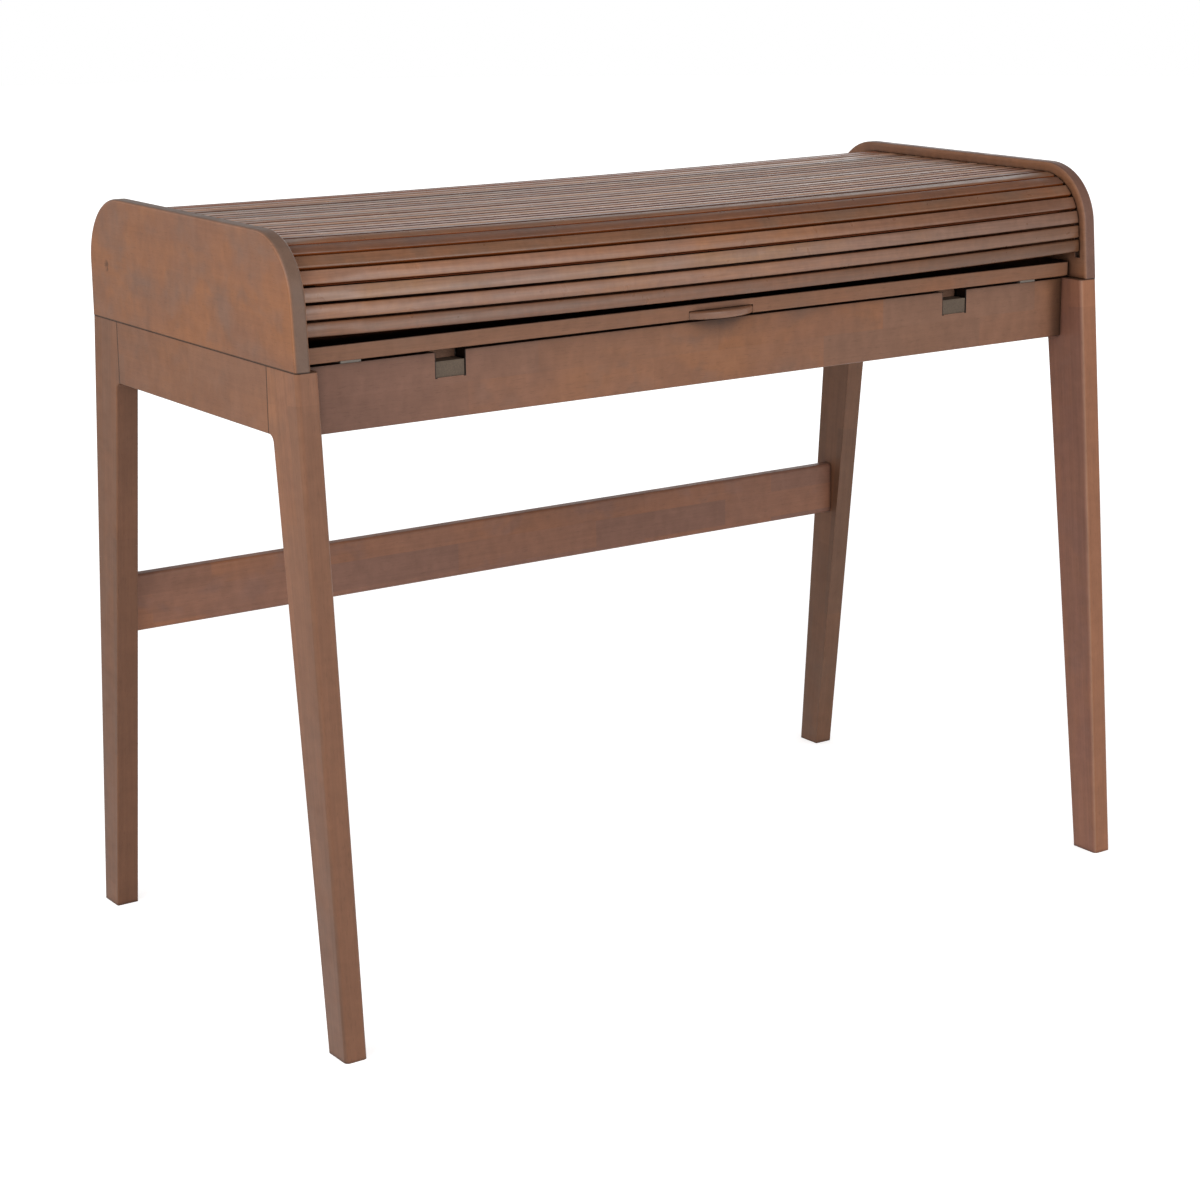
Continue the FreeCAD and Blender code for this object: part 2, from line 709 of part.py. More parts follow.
def rod(name, diameter, extra, length, base, axis):
    # a cylinder from base along an axis; extra is the clearance on its radius
    bar = doc.addObject("Part::Cylinder", name)
    bar.setExpression("Radius", f"{cell(diameter)} / 2 + {extra}")
    bar.setExpression("Height", length)
    turn = FreeCAD.Rotation(FreeCAD.Vector(0, 0, 1), FreeCAD.Vector(*axis))
    bar.Placement = FreeCAD.Placement(FreeCAD.Vector(0, 0, 0), turn)
    for letter, formula in zip("xyz", base):
        bar.setExpression(f"Placement.Base.{letter}", formula)
    return bar


# centre and axis of each dowel of the right half, the rear apron's and panel's included
DOWELS = {
    "front_low": (("places.leg_inner_x", "{apron}", "{low}"), "x"),
    "front_high": (("places.leg_inner_x", "{apron}", "{high}"), "x"),
    "rear_low": (("places.leg_inner_x", "-({apron})", "{low}"), "x"),
    "rear_high": (("places.leg_inner_x", "-({apron})", "{high}"), "x"),
    "side_front_low": (("{rail}", "places.leg_head_y", "{low} + sizes.dowel_stagger"), "y"),
    "side_front_high": (("{rail}", "places.leg_head_y", "{high} + sizes.dowel_stagger"), "y"),
    "side_rear_low": (("{rail}", "-places.leg_head_y", "{low} + sizes.dowel_stagger"), "y"),
    "side_rear_high": (("{rail}", "-places.leg_head_y", "{high} + sizes.dowel_stagger"), "y"),
    "stretcher_low": (("places.leg_inner_x", "places.stretcher_y",
                       "sizes.stretcher_bottom + sizes.dowel_inset"), "x"),
    "stretcher_high": (("places.leg_inner_x", "places.stretcher_y",
                        "places.stretcher_top - sizes.dowel_inset"), "x"),
    "panel_front": (("places.panel_dowel_x", "-sizes.panel_dowel_spread",
                     "sizes.frame_height"), "z"),
    "panel_middle": (("places.panel_dowel_x", "0", "sizes.frame_height"), "z"),
    "panel_rear": (("places.panel_dowel_x", "sizes.panel_dowel_spread",
                    "sizes.frame_height"), "z"),
}
AXES = {"x": (1, 0, 0), "y": (0, 1, 0), "z": (0, 0, 1)}


def make_dowels(extra, label):
    # all dowels, or their bores when extra clearance is asked for
    words = {
        "apron": "places.front_apron_y + sizes.apron_thickness / 2",
        "low": "places.apron_bottom + sizes.dowel_inset",
        "high": "places.apron_top - sizes.dowel_inset",
        "rail": "places.half_width - sizes.leg_thickness / 2",
    }
    length = f"sizes.dowel_length + 2 * {extra}"
    right = []
    for name, (centre, axis) in DOWELS.items():
        base = []
        for letter, formula in zip("xyz", centre):
            shift = f" - ({length}) / 2" if letter == axis else ""
            base.append(formula.format(**words) + shift)
        right.append(rod(f"{label}_{name}", "dowel_diameter", extra, length, base, AXES[axis]))
    return mirrored_pair(right, label)


def mirrored_pair(right, label):
    half = gather(f"{label}_right", right)
    return gather(label, right + [mirror(half, f"{label}_left", "x")])


def make_screws(extra, label, mouth):
    # two screws in the front right corner block; as bores they get clearance and a mouth
    middle = "places.block_bottom + sizes.block_height / 2"
    along = "places.front_apron_back_y"
    seat = "places.screw_seat"
    ways = {
        "apron": ("y", (0, -1, 0), ["places.leg_inner_x - sizes.screw_offset",
                                    f"{along} + {seat}", f"{middle} + sizes.screw_stagger"]),
        "side": ("x", (1, 0, 0), [f"places.leg_inner_x - {seat}",
                                  f"{along} + sizes.screw_offset",
                                  f"{middle} - sizes.screw_stagger"]),
    }
    screws = []
    for name, (letter, axis, base) in ways.items():
        index = "xyz".index(letter)
        sign = "+" if axis[index] < 0 else "-"
        shank = rod(f"{label}_{name}_shank", "screw_diameter", extra,
                    f"sizes.screw_length + {extra}", base, axis)
        head_base = list(base)
        head_base[index] = f"{base[index]} {sign} ({mouth})"
        head = rod(f"{label}_{name}_head", "screw_head", extra,
                   f"sizes.screw_head_height + {mouth}", head_base, axis)
        screw = doc.addObject("Part::Fuse", f"{label}_{name}")
        screw.Base = shank
        screw.Tool = head
        screws.append(screw)
    return four_corners(screws, label)


def four_corners(things, label):
    # a front right piece repeated at the other three corners
    front_right = gather(f"{label}_front_right", things)
    rear_right = mirror(front_right, f"{label}_rear_right", "y")
    right = gather(f"{label}_right", [front_right, rear_right])
    return gather(label, [right, mirror(right, f"{label}_left", "x")])


def build_frame(dowel_bores, screw_bores):
    leg = make_leg()
    legs = {
        "front_right_leg": leg,
        "front_left_leg": mirror(leg, "front_left_blank", "x"),
        "rear_right_leg": mirror(leg, "rear_right_blank", "y"),
    }
    legs["rear_left_leg"] = mirror(legs["rear_right_leg"], "rear_left_blank", "x")
    for node, blank in legs.items():
        bore(blank, dowel_bores, node)
    holes = gather("rail_bores", [dowel_bores, screw_bores])
    side = make_side_apron()
    bore(side, holes, "right_side_apron")
    bore(mirror(side, "left_side_apron_blank", "x"), holes, "left_side_apron")
    bore(make_front_apron(), holes, "front_apron")
    rear = make_rail("rear_apron", "apron_bottom", "apron_top", "rear_apron_y",
                     "apron_thickness", "edge_round")
    bore(rear, holes, "rear_apron")
    stretcher = make_rail("rear_stretcher", "stretcher_bottom", "stretcher_top",
                          "stretcher_back_y", "stretcher_thickness", "stretcher_round")
    bore(stretcher, dowel_bores, "rear_stretcher")
    panel = make_side_panel()
    bore(panel, dowel_bores, "right_side_panel")
    bore(mirror(panel, "left_side_panel_blank", "x"), dowel_bores, "left_side_panel")
    blocks = four_corners([make_corner_block()], "corner_block_set")
    bore(blocks, screw_bores, "corner_blocks")


def build_slides():
    runner = block("runner_bar", [
        ("runner_in_x", "runner_out_x"),
        ("runner_front_y", "rear_apron_front_y"),
        ("notch_floor", "runner_top"),
    ])
    name_piece(runner, "right_runner")
    name_piece(mirror(runner, "runner_bar_left", "x"), "left_runner")
    batten = block("batten_bar", [
        ("batten_in_x", "batten_out_x"),
        ("batten_front_y", "cleat_front_y"),
        ("batten_bottom", "top_bottom"),
    ])
    battens = gather("batten_pair", [batten, mirror(batten, "batten_bar_left", "x")])
    name_piece(battens, "top_battens")
    glide = block("glide_pad", [
        ("glide_in_x", "glide_out_x"),
        ("glide_front_y", "front_apron_back_y"),
        ("apron_top", "glide_top"),
    ])
    pair = gather("glide_pad_pair", [glide, mirror(glide, "glide_pad_left", "x")])
    name_piece(pair, "glide_pads")
    cleat = block("cleat_strip", [
        ("-top_half_width", "top_half_width"),
        ("cleat_front_y", "cleat_back_y"),
        ("top_bottom", "top_surface"),
    ])
    name_piece(cleat, "tail_cleat")


def build_lining():
    floor = block("lining_floor", [
        ("-panel_inner_x", "panel_inner_x"),
        ("floor_front_y", "lining_back_y"),
        ("floor_bottom", "floor_top"),
    ])
    name_piece(floor, "inner_floor")
    back = block("lining_back", [
        ("-panel_inner_x", "panel_inner_x"),
        ("lining_front_y", "lining_back_y"),
        ("floor_top", "lining_top"),
    ])
    name_piece(back, "inner_back")
    bottom = block("dust_board", [
        ("-leg_inner_x", "leg_inner_x"),
        ("front_apron_back_y", "rear_apron_front_y"),
        ("bottom_low", "block_bottom"),
    ])
    name_piece(bottom, "bottom_board")


def write_parts():
    # refuses to write anything unless every object and every piece is sound
    for thing in doc.Objects:
        if "Invalid" in thing.State or "Error" in thing.State:
            raise RuntimeError(f"{thing.Name} ({thing.Label}) failed: {thing.State}")
    for node, thing in pieces.items():
        if thing.Shape.isNull() or not thing.Shape.isValid():
            raise RuntimeError(f"{node} has no valid shape")
    os.makedirs("parts", exist_ok=True)
    for node, thing in pieces.items():
        solids = thing.Shape.Solids
        shape = solids[0] if len(solids) == 1 else Part.makeCompound(solids)
        shape.exportStep(f"parts/{node}.step")
        print(f"{node}: {len(solids)} solid(s), {shape.Volume / 1000:.1f} cm3")


fill_sheets()
dowels = make_dowels("0", "dowel")
name_piece(dowels, "frame_dowels")
dowel_bores = make_dowels("sizes.dowel_clearance", "dowel_bore")
screws = make_screws("0", "screw", "0")
name_piece(screws, "corner_screws")
screw_bores = make_screws("sizes.screw_clearance", "screw_bore", "sizes.block_leg")
build_frame(dowel_bores, screw_bores)
make_writing_top()
make_pull_handle()
build_slides()
build_lining()
for slat_number in range(1, int(value("slat_count")) + 1):
    make_slat(slat_number)
doc.recompute()
write_parts()
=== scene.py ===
import bpy
import json
from math import cos, pi, radians, sin
from mathutils import Matrix, Vector


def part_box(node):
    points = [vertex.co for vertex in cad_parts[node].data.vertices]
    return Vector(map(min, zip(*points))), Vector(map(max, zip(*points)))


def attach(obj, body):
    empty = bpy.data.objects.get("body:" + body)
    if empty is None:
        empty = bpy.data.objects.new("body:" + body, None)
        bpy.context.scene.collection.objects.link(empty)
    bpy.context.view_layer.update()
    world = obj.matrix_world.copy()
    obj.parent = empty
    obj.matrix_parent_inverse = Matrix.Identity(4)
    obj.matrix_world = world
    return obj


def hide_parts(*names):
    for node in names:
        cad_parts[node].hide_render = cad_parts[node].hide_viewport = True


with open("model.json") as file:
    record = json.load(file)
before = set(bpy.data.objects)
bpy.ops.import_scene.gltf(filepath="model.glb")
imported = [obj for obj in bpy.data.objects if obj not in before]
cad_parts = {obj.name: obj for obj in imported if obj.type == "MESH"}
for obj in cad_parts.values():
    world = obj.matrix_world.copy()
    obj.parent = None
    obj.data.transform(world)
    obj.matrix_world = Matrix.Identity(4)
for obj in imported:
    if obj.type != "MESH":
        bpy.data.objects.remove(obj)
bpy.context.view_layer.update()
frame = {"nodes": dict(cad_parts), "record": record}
nodes = frame["nodes"]
print("frame loaded:", len(nodes), "nodes")

# the camera stands left of the desk and looks slightly down
shot = {
    "place": (-1.8129, -2.6378, 1.1979),   # metres, in front and to the left
    "yaw": -35.080,                        # degrees, turned right of straight ahead
    "pitch": -13.452,                      # looking down
    "roll": -0.373,
    "lens": 82.11,                         # mm on a 36 mm sensor
    "shift": (-0.0347, -0.0558),
}


def placeCamera():
    data = bpy.data.cameras.new("deskCamera")
    data.sensor_width = 36
    data.lens = shot["lens"]
    data.shift_x, data.shift_y = shot["shift"]
    camera = bpy.data.objects.new("deskCamera", data)
    bpy.context.scene.collection.objects.link(camera)
    turn = (Matrix.Rotation(radians(shot["yaw"]), 4, "Z")
            @ Matrix.Rotation(radians(90 + shot["pitch"]), 4, "X")
            @ Matrix.Rotation(radians(shot["roll"]), 4, "Z"))
    camera.matrix_world = Matrix.Translation(shot["place"]) @ turn
    bpy.context.scene.camera = camera


placeCamera()
print("camera placed")


def colour(code):
    # sRGB hex to linear
    parts = [int(code[i:i + 2], 16) / 255 for i in (1, 3, 5)]
    return tuple(p / 12.92 if p <= 0.04045 else ((p + 0.055) / 1.055) ** 2.4 for p in parts) + (1,)


def addNode(tree, kind, settings=None, inputs=None):
    # adds a node with its settings, then its values and links
    node = tree.nodes.new(kind)
    for key, given in (settings or {}).items():
        setattr(node, key, given)
    for key, given in (inputs or {}).items():
        if isinstance(given, bpy.types.NodeSocket):
            tree.links.new(given, node.inputs[key])
        else:
            node.inputs[key].default_value = given
    return node


def newFinish(name):
    # an empty material and its tree
    finish = bpy.data.materials.new(name)
    finish.use_nodes = True
    finish.node_tree.nodes.clear()
    return finish, finish.node_tree


def finishUp(tree, shader):
    addNode(tree, "ShaderNodeOutputMaterial", None, {"Surface": shader.outputs[0]})


def per(mm):
    # texture scale for a pattern that repeats every so many millimetres
    return 1000 / mm


def deselect():
    for thing in bpy.context.selected_objects:
        thing.select_set(False)
    bpy.context.view_layer.objects.active = None


# Rubberwood staves glued up, sanded, stained walnut and sprayed with satin lacquer. The stain
# takes unevenly, so the colour is cloudy, the grain is faint, the pores show as short dashes.
# Corners and recesses get painted shade, and the arrises are paler: partly thinned stain,
# partly a painted highlight.
walnutStain = {
    "base": "#845b44",
    "warm": "#8a5d41",          # clouds where it took redder
    "dull": "#7f5b47",          # and greyer
    "wornAndHighlit": "#b08a72",          # pale arrises: thinned stain, and painted highlights
    "axes": "XZY",              # along the grain, across the face, into the board
    "lean": 0.0,                # degrees the grain leans in the YZ plane
    "cloud": 85,                # mm, patches where the stain took more
    "mottle": 24,               # mm, the blotches inside them
    "line": 3.0,                # mm between grain lines
    "pore": 1.0,                # mm, real pores are 0.3 and would not show
    "stave": None,              # mm, length and width of one stave
    "staveStrength": 0.06,
    "mottleStrength": 0.07,
    "lineStrength": 0.07,
    "poreStrength": 0.16,
    "arris": 1.3,               # mm, edges taken off with sandpaper
    "wearAndHighlight": 0.45,               # how pale the arrises get: thinned stain, and a painted highlight
    "gloss": 0.22,              # satin lacquer, rubbed down
    "shine": (0.34, 0.46),      # roughness, where it was rubbed most and least
    "bump": 0.15,
    "corner": (0.35, 0.90),     # openness where the painted corner shade is darkest, and clear
    "cornerShade": 0.38,             # what is left of the light there
    "reach": 6,                 # mm, how far out of the corner
    "recess": None,             # painted shade in a deep place: reach, openness, light left
    "recessFaces": "all",       # or "up", for those that look up
    "lip": None,                # Y in metres, a front strip given painted shade under any cover, and its fade
    "edge": None,               # tone of the narrow faces, which don't look left or right
    "arrisHighlight": None,             # painted highlight, a pale line beside them: sideways part of the normal, width, share
    "drift": None,              # other tone towards one end: colour, axis, metres from and to
    "seams": [],                # places where two pieces meet flush: axis and metres
    "knots": [],                # centre and radius in metres
    "shadePockets": [],              # painted shade in boxes, the same on both sides: low and high corner in metres
}
# what all stained pieces share
stainHabits = {
    "dullCloud": (0.6, 0.9),            # greyer clouds: size beside the others, strength
    "bandShare": (3, 0.6),              # bands of grain lines: width and strength in lines
    "staveShift": (0.37, 2),            # how far the stave joints step, and every how many rows
    "staveShuffle": 5.7,                # tells each stave's greyness apart from its lightness
    "drift": 0.85,
    "edge": (0.45, 0.80, 0.9),          # sideways part of the normal from and to, strength
    "arrisTurn": (0.985, 0.80),         # how far an arris turns where the paler tone starts and is full
    "wearAndHighlightPatches": (30, 0.35),              # mm between paler and less pale patches on the arrises, least share
    "seam": (0.0006, 0.0013, 0.34),     # metres where it is darkest and clear, light left
    "knot": (0.3, 1.3, 0.48),           # the same in radii
    "knotEdge": (9, 0.5),               # mm, and radii by which a knot is uneven
    "pocket": 0.10,                     # light left in a painted shade box
    # openness below which the front strip takes its painted shade
    "lipOpenness": (0.90, 0.995),
    "upFacing": (0.3, 0.7),
    "shinePatch": 1.5,                  # size beside the mottle
    "grainDepth": 0.0004,               # metres
    "noiseRoughness": 0.55,
    "noiseWarp": 0.25,
    "bevelSamples": 6,
    "cornerSamples": 8,
    "recessSamples": 12,
}
# stretch along the grain, octaves, noise where the pattern starts and is full
grainPatterns = {
    "cloud": (1.6, 4, 0.40, 0.62),
    "dullCloud": (1.3, 3, 0.45, 0.68),
    "mottle": (0.6, 5, 0.28, 0.72),
    "band": (14, 3, 0.3, 0.7),
    "line": (30, 4, 0.3, 0.7),
    "pore": (9, 1, 0.60, 0.74),
    "wearAndHighlightPatches": (3, 3, 0.35, 0.65),
    "shine": (1, 2, 0.3, 0.7),
    "knotEdge": (1, 3, 0.3, 0.7),
}


def grainPattern(tree, where, kind, mm, start, end):
    # noise drawn out along the grain, then spread from start to end
    long, octaves, low, high = grainPatterns[kind]
    drawn = addNode(tree, "ShaderNodeMapping", None,
                    {"Vector": where, "Scale": (1 / long, 1, 1)}).outputs[0]
    fac = addNode(tree, "ShaderNodeTexNoise", None,
                  {"Vector": drawn, "Scale": per(mm), "Detail": octaves,
                   "Roughness": stainHabits["noiseRoughness"],
                   "Distortion": stainHabits["noiseWarp"]}).outputs["Fac"]
    return addNode(tree, "ShaderNodeMapRange", None,
                   {0: fac, 1: low, 2: high, 3: start, 4: end}).outputs[0]


def stainOver(tree, tone, measure, low, high, start, end, code):
    # another stain over the tone, from start to end as the measure goes from low to high
    amount = addNode(tree, "ShaderNodeMapRange", None,
                     {0: measure, 1: low, 2: high, 3: start, 4: end}).outputs[0]
    return addNode(tree, "ShaderNodeMix", {"data_type": "RGBA"},
                   {0: amount, 6: tone, 7: colour(code)}).outputs[2]


def darkenBelow(tree, light, measure, low, high, dark):
    # full light above high, and only the dark share of it below low
    amount = addNode(tree, "ShaderNodeMapRange", None,
                     {0: measure, 1: low, 2: high, 3: dark, 4: 1}).outputs[0]
    return addNode(tree, "ShaderNodeMath", {"operation": "MULTIPLY"},
                   {0: light, 1: amount}).outputs[0]


def distanceFrom(tree, place, middle):
    # how far a number is from another, either way
    apart = addNode(tree, "ShaderNodeMath", {"operation": "SUBTRACT"}, {0: place, 1: middle})
    return addNode(tree, "ShaderNodeMath", {"operation": "ABSOLUTE"},
                   {0: apart.outputs[0]}).outputs[0]


def stainClouds(tree, look, spots, along, sideways):
    # two clouds, each stave's own tone, a drift towards one end, the narrow faces, a painted
    # highlight
    size, strength = stainHabits["dullCloud"]
    cloud = grainPattern(tree, along, "cloud", look["cloud"], 0, 1)
    dull = grainPattern(tree, along, "dullCloud", look["cloud"] * size, 0, strength)
    light = 1.0
    if look["stave"]:
        long, wide = look["stave"]
        shift, rows = stainHabits["staveShift"]
        staves = addNode(tree, "ShaderNodeTexBrick", {"offset": shift, "offset_frequency": rows},
                         {"Vector": along, "Color1": (0, 0, 0, 1), "Color2": (1, 1, 1, 1),
                          "Mortar": (0.5, 0.5, 0.5, 1), "Scale": 1, "Mortar Size": 0,
                          "Brick Width": long / 1000, "Row Height": wide / 1000}).outputs[0]
        light = addNode(tree, "ShaderNodeMapRange", None,
                        {0: staves, 3: 1 - look["staveStrength"],
                         4: 1 + look["staveStrength"]}).outputs[0]
        shuffled = addNode(tree, "ShaderNodeMath", {"operation": "MULTIPLY"},
                           {0: staves, 1: stainHabits["staveShuffle"]}).outputs[0]
        shuffled = addNode(tree, "ShaderNodeMath", {"operation": "FRACT"},
                           {0: shuffled}).outputs[0]
        dull = addNode(tree, "ShaderNodeMath", {"operation": "MAXIMUM"},
                       {0: dull, 1: shuffled}).outputs[0]
    tone = addNode(tree, "ShaderNodeMix", {"data_type": "RGBA"},
                   {0: cloud, 6: colour(look["base"]), 7: colour(look["warm"])}).outputs[2]
    tone = addNode(tree, "ShaderNodeMix", {"data_type": "RGBA"},
                   {0: dull, 6: tone, 7: colour(look["dull"])}).outputs[2]
    if look["drift"]:
        code, axis, start, end = look["drift"]
        tone = stainOver(tree, tone, spots[axis], start, end, 0, stainHabits["drift"], code)
    if look["edge"]:
        low, high, strength = stainHabits["edge"]
        tone = stainOver(tree, tone, sideways, low, high, strength, 0, look["edge"])
    # a painted highlight: a pale line where the normal turns partly sideways
    if look["arrisHighlight"]:
        middle, width, pale = look["arrisHighlight"]
        turning = distanceFrom(tree, sideways, middle)
        tone = stainOver(tree, tone, turning, 0, width, pale, 0, look["wornAndHighlit"])
    return tone, light


def grainLight(tree, look, along):
    # how light the mottle and the grain bands are, and the finer lines and pores
    strength = look["lineStrength"]
    width, share = stainHabits["bandShare"]
    mottle = grainPattern(tree, along, "mottle", look["mottle"],
                          1 - look["mottleStrength"], 1 + look["mottleStrength"])
    bands = grainPattern(tree, along, "band", look["line"] * width,
                         1 - strength * share, 1 + strength * share)
    lines = grainPattern(tree, along, "line", look["line"], 1 - strength, 1 + strength)
    pores = grainPattern(tree, along, "pore", look["pore"], 1, 1 - look["poreStrength"])
    broad = addNode(tree, "ShaderNodeMath", {"operation": "MULTIPLY"}, {0: mottle, 1: bands})
    fine = addNode(tree, "ShaderNodeMath", {"operation": "MULTIPLY"}, {0: lines, 1: pores})
    return broad.outputs[0], fine.outputs[0]


def wearAndHighlightArrises(tree, look, along, flat, tone):
    # arrises are rounded in shading, and paler: partly thinned stain, partly a painted highlight
    rounded = addNode(tree, "ShaderNodeBevel", {"samples": stainHabits["bevelSamples"]},
                      {"Radius": look["arris"] / 1000}).outputs[0]
    bend = addNode(tree, "ShaderNodeVectorMath", {"operation": "DOT_PRODUCT"},
                   {0: rounded, 1: flat}).outputs["Value"]
    start, full = stainHabits["arrisTurn"]
    wornAndHighlit = addNode(tree, "ShaderNodeMapRange", None,
                   {0: bend, 1: start, 2: full, 3: 0, 4: look["wearAndHighlight"]}).outputs[0]
    mm, least = stainHabits["wearAndHighlightPatches"]
    wornAndHighlit = addNode(tree, "ShaderNodeMath", {"operation": "MULTIPLY"},
                   {0: wornAndHighlit, 1: grainPattern(tree, along, "wearAndHighlightPatches", mm, least, 1)}).outputs[0]
    tone = addNode(tree, "ShaderNodeMix", {"data_type": "RGBA"},
                   {0: wornAndHighlit, 6: tone, 7: colour(look["wornAndHighlit"])}).outputs[2]
    return tone, rounded


def shadeRecess(tree, look, spots, upward):
    # a deep place is dark by its openness, so the shade follows the piece in any pose
    reach, low, high, dark = look["recess"]
    deep = addNode(tree, "ShaderNodeAmbientOcclusion", {"samples": stainHabits["recessSamples"]},
                   {"Distance": reach / 1000}).outputs["AO"]
    shade = darkenBelow(tree, 1.0, deep, low, high, dark)
    if look["lip"]:
        front = addNode(tree, "ShaderNodeMapRange", None,
                        {0: spots["Y"], 1: look["lip"][0], 2: look["lip"][1], 3: 1, 4: 0})
        low, high = stainHabits["lipOpenness"]
        covered = addNode(tree, "ShaderNodeMapRange", None,
                          {0: deep, 1: low, 2: high, 3: 1, 4: 0})
        under = addNode(tree, "ShaderNodeMath", {"operation": "MULTIPLY"},
                        {0: front.outputs[0], 1: covered.outputs[0]})
        clear = addNode(tree, "ShaderNodeMath", {"operation": "SUBTRACT"},
                        {0: 1.0, 1: under.outputs[0]}).outputs[0]
        shade = darkenBelow(tree, shade, clear, 0, 1, dark)
    if look["recessFaces"] == "up":
        low, high = stainHabits["upFacing"]
        level = addNode(tree, "ShaderNodeMapRange", None,
                        {0: upward, 1: low, 2: high, 3: 1, 4: 0}).outputs[0]
        shade = addNode(tree, "ShaderNodeMath", {"operation": "MAXIMUM"},
                        {0: shade, 1: level}).outputs[0]
    return shade


def darkenPlaces(tree, look, place, spots, upward, light):
    # painted shade in corners, recesses and boxes; dark flush seams and knots
    hidden = addNode(tree, "ShaderNodeAmbientOcclusion", {"samples": stainHabits["cornerSamples"]},
                     {"Distance": look["reach"] / 1000}).outputs["AO"]
    light = darkenBelow(tree, light, hidden, *look["corner"], look["cornerShade"])
    if look["recess"]:
        shade = shadeRecess(tree, look, spots, upward)
        light = addNode(tree, "ShaderNodeMath", {"operation": "MULTIPLY"},
                        {0: light, 1: shade}).outputs[0]
    for axis, metres in look["seams"]:
        side = distanceFrom(tree, spots[axis], 0.0)
        light = darkenBelow(tree, light, distanceFrom(tree, side, metres), *stainHabits["seam"])
    near, far, dark = stainHabits["knot"]
    mm, share = stainHabits["knotEdge"]
    for centre, radius in look["knots"]:
        away = addNode(tree, "ShaderNodeVectorMath", {"operation": "DISTANCE"},
                       {0: place, 1: centre}).outputs["Value"]
        uneven = grainPattern(tree, place, "knotEdge", mm, -share * radius, share * radius)
        away = addNode(tree, "ShaderNodeMath", {"operation": "ADD"},
                       {0: away, 1: uneven}).outputs[0]
        light = darkenBelow(tree, light, away, near * radius, far * radius, dark)
    # painted shade in boxes, mirrored in X
    for low, high in look["shadePockets"]:
        outside = 0.0
        for axis, start, end in zip("XYZ", low, high):
            span = distanceFrom(tree, spots[axis], 0.0) if axis == "X" else spots[axis]
            for limit, operation in ((start, "LESS_THAN"), (end, "GREATER_THAN")):
                past = addNode(tree, "ShaderNodeMath", {"operation": operation},
                               {0: span, 1: limit}).outputs[0]
                outside = addNode(tree, "ShaderNodeMath", {"operation": "MAXIMUM"},
                                  {0: outside, 1: past}).outputs[0]
        light = darkenBelow(tree, light, outside, 0, 1, stainHabits["pocket"])
    return light


def stainedWood(name, changes):
    look = {**walnutStain, **changes}
    finish, tree = newFinish(name)
    place = addNode(tree, "ShaderNodeTexCoord").outputs["Object"]
    spots = addNode(tree, "ShaderNodeSeparateXYZ", None, {0: place}).outputs
    turned = addNode(tree, "ShaderNodeMapping", None,
                     {"Vector": place, "Rotation": (radians(look["lean"]), 0, 0)}).outputs[0]
    split = addNode(tree, "ShaderNodeSeparateXYZ", None, {0: turned}).outputs
    order = look["axes"]
    along = addNode(tree, "ShaderNodeCombineXYZ", None,
                    {0: split[order[0]], 1: split[order[1]], 2: split[order[2]]}).outputs[0]
    flat = addNode(tree, "ShaderNodeNewGeometry").outputs["Normal"]
    facing = addNode(tree, "ShaderNodeSeparateXYZ", None, {0: flat}).outputs
    sideways = distanceFrom(tree, facing["X"], 0.0)

    tone, light = stainClouds(tree, look, spots, along, sideways)
    broad, fine = grainLight(tree, look, along)
    for pattern in (broad, fine):
        light = addNode(tree, "ShaderNodeMath", {"operation": "MULTIPLY"},
                        {0: light, 1: pattern}).outputs[0]
    tone, rounded = wearAndHighlightArrises(tree, look, along, flat, tone)
    light = darkenPlaces(tree, look, place, spots, facing["Z"], light)
    tone = addNode(tree, "ShaderNodeVectorMath", {"operation": "SCALE"},
                   {0: tone, "Scale": light}).outputs[0]

    shine = grainPattern(tree, along, "shine", look["mottle"] * stainHabits["shinePatch"],
                         *look["shine"])
    relief = addNode(tree, "ShaderNodeBump", None,
                     {"Strength": look["bump"], "Distance": stainHabits["grainDepth"],
                      "Height": fine, "Normal": rounded}).outputs[0]
    finishUp(tree, addNode(tree, "ShaderNodeBsdfPrincipled", None,
                           {"Base Color": tone, "Roughness": shine, "IOR": 1.5,
                            "Specular IOR Level": look["gloss"], "Normal": relief}))
    return finish


legJoint = ("Y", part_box("left_side_apron")[1][1])       # the side apron butts against the legs
panelJoint = ("Z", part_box("left_side_panel")[0][2])     # the panel stands on the apron
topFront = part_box("writing_top")[0][1]
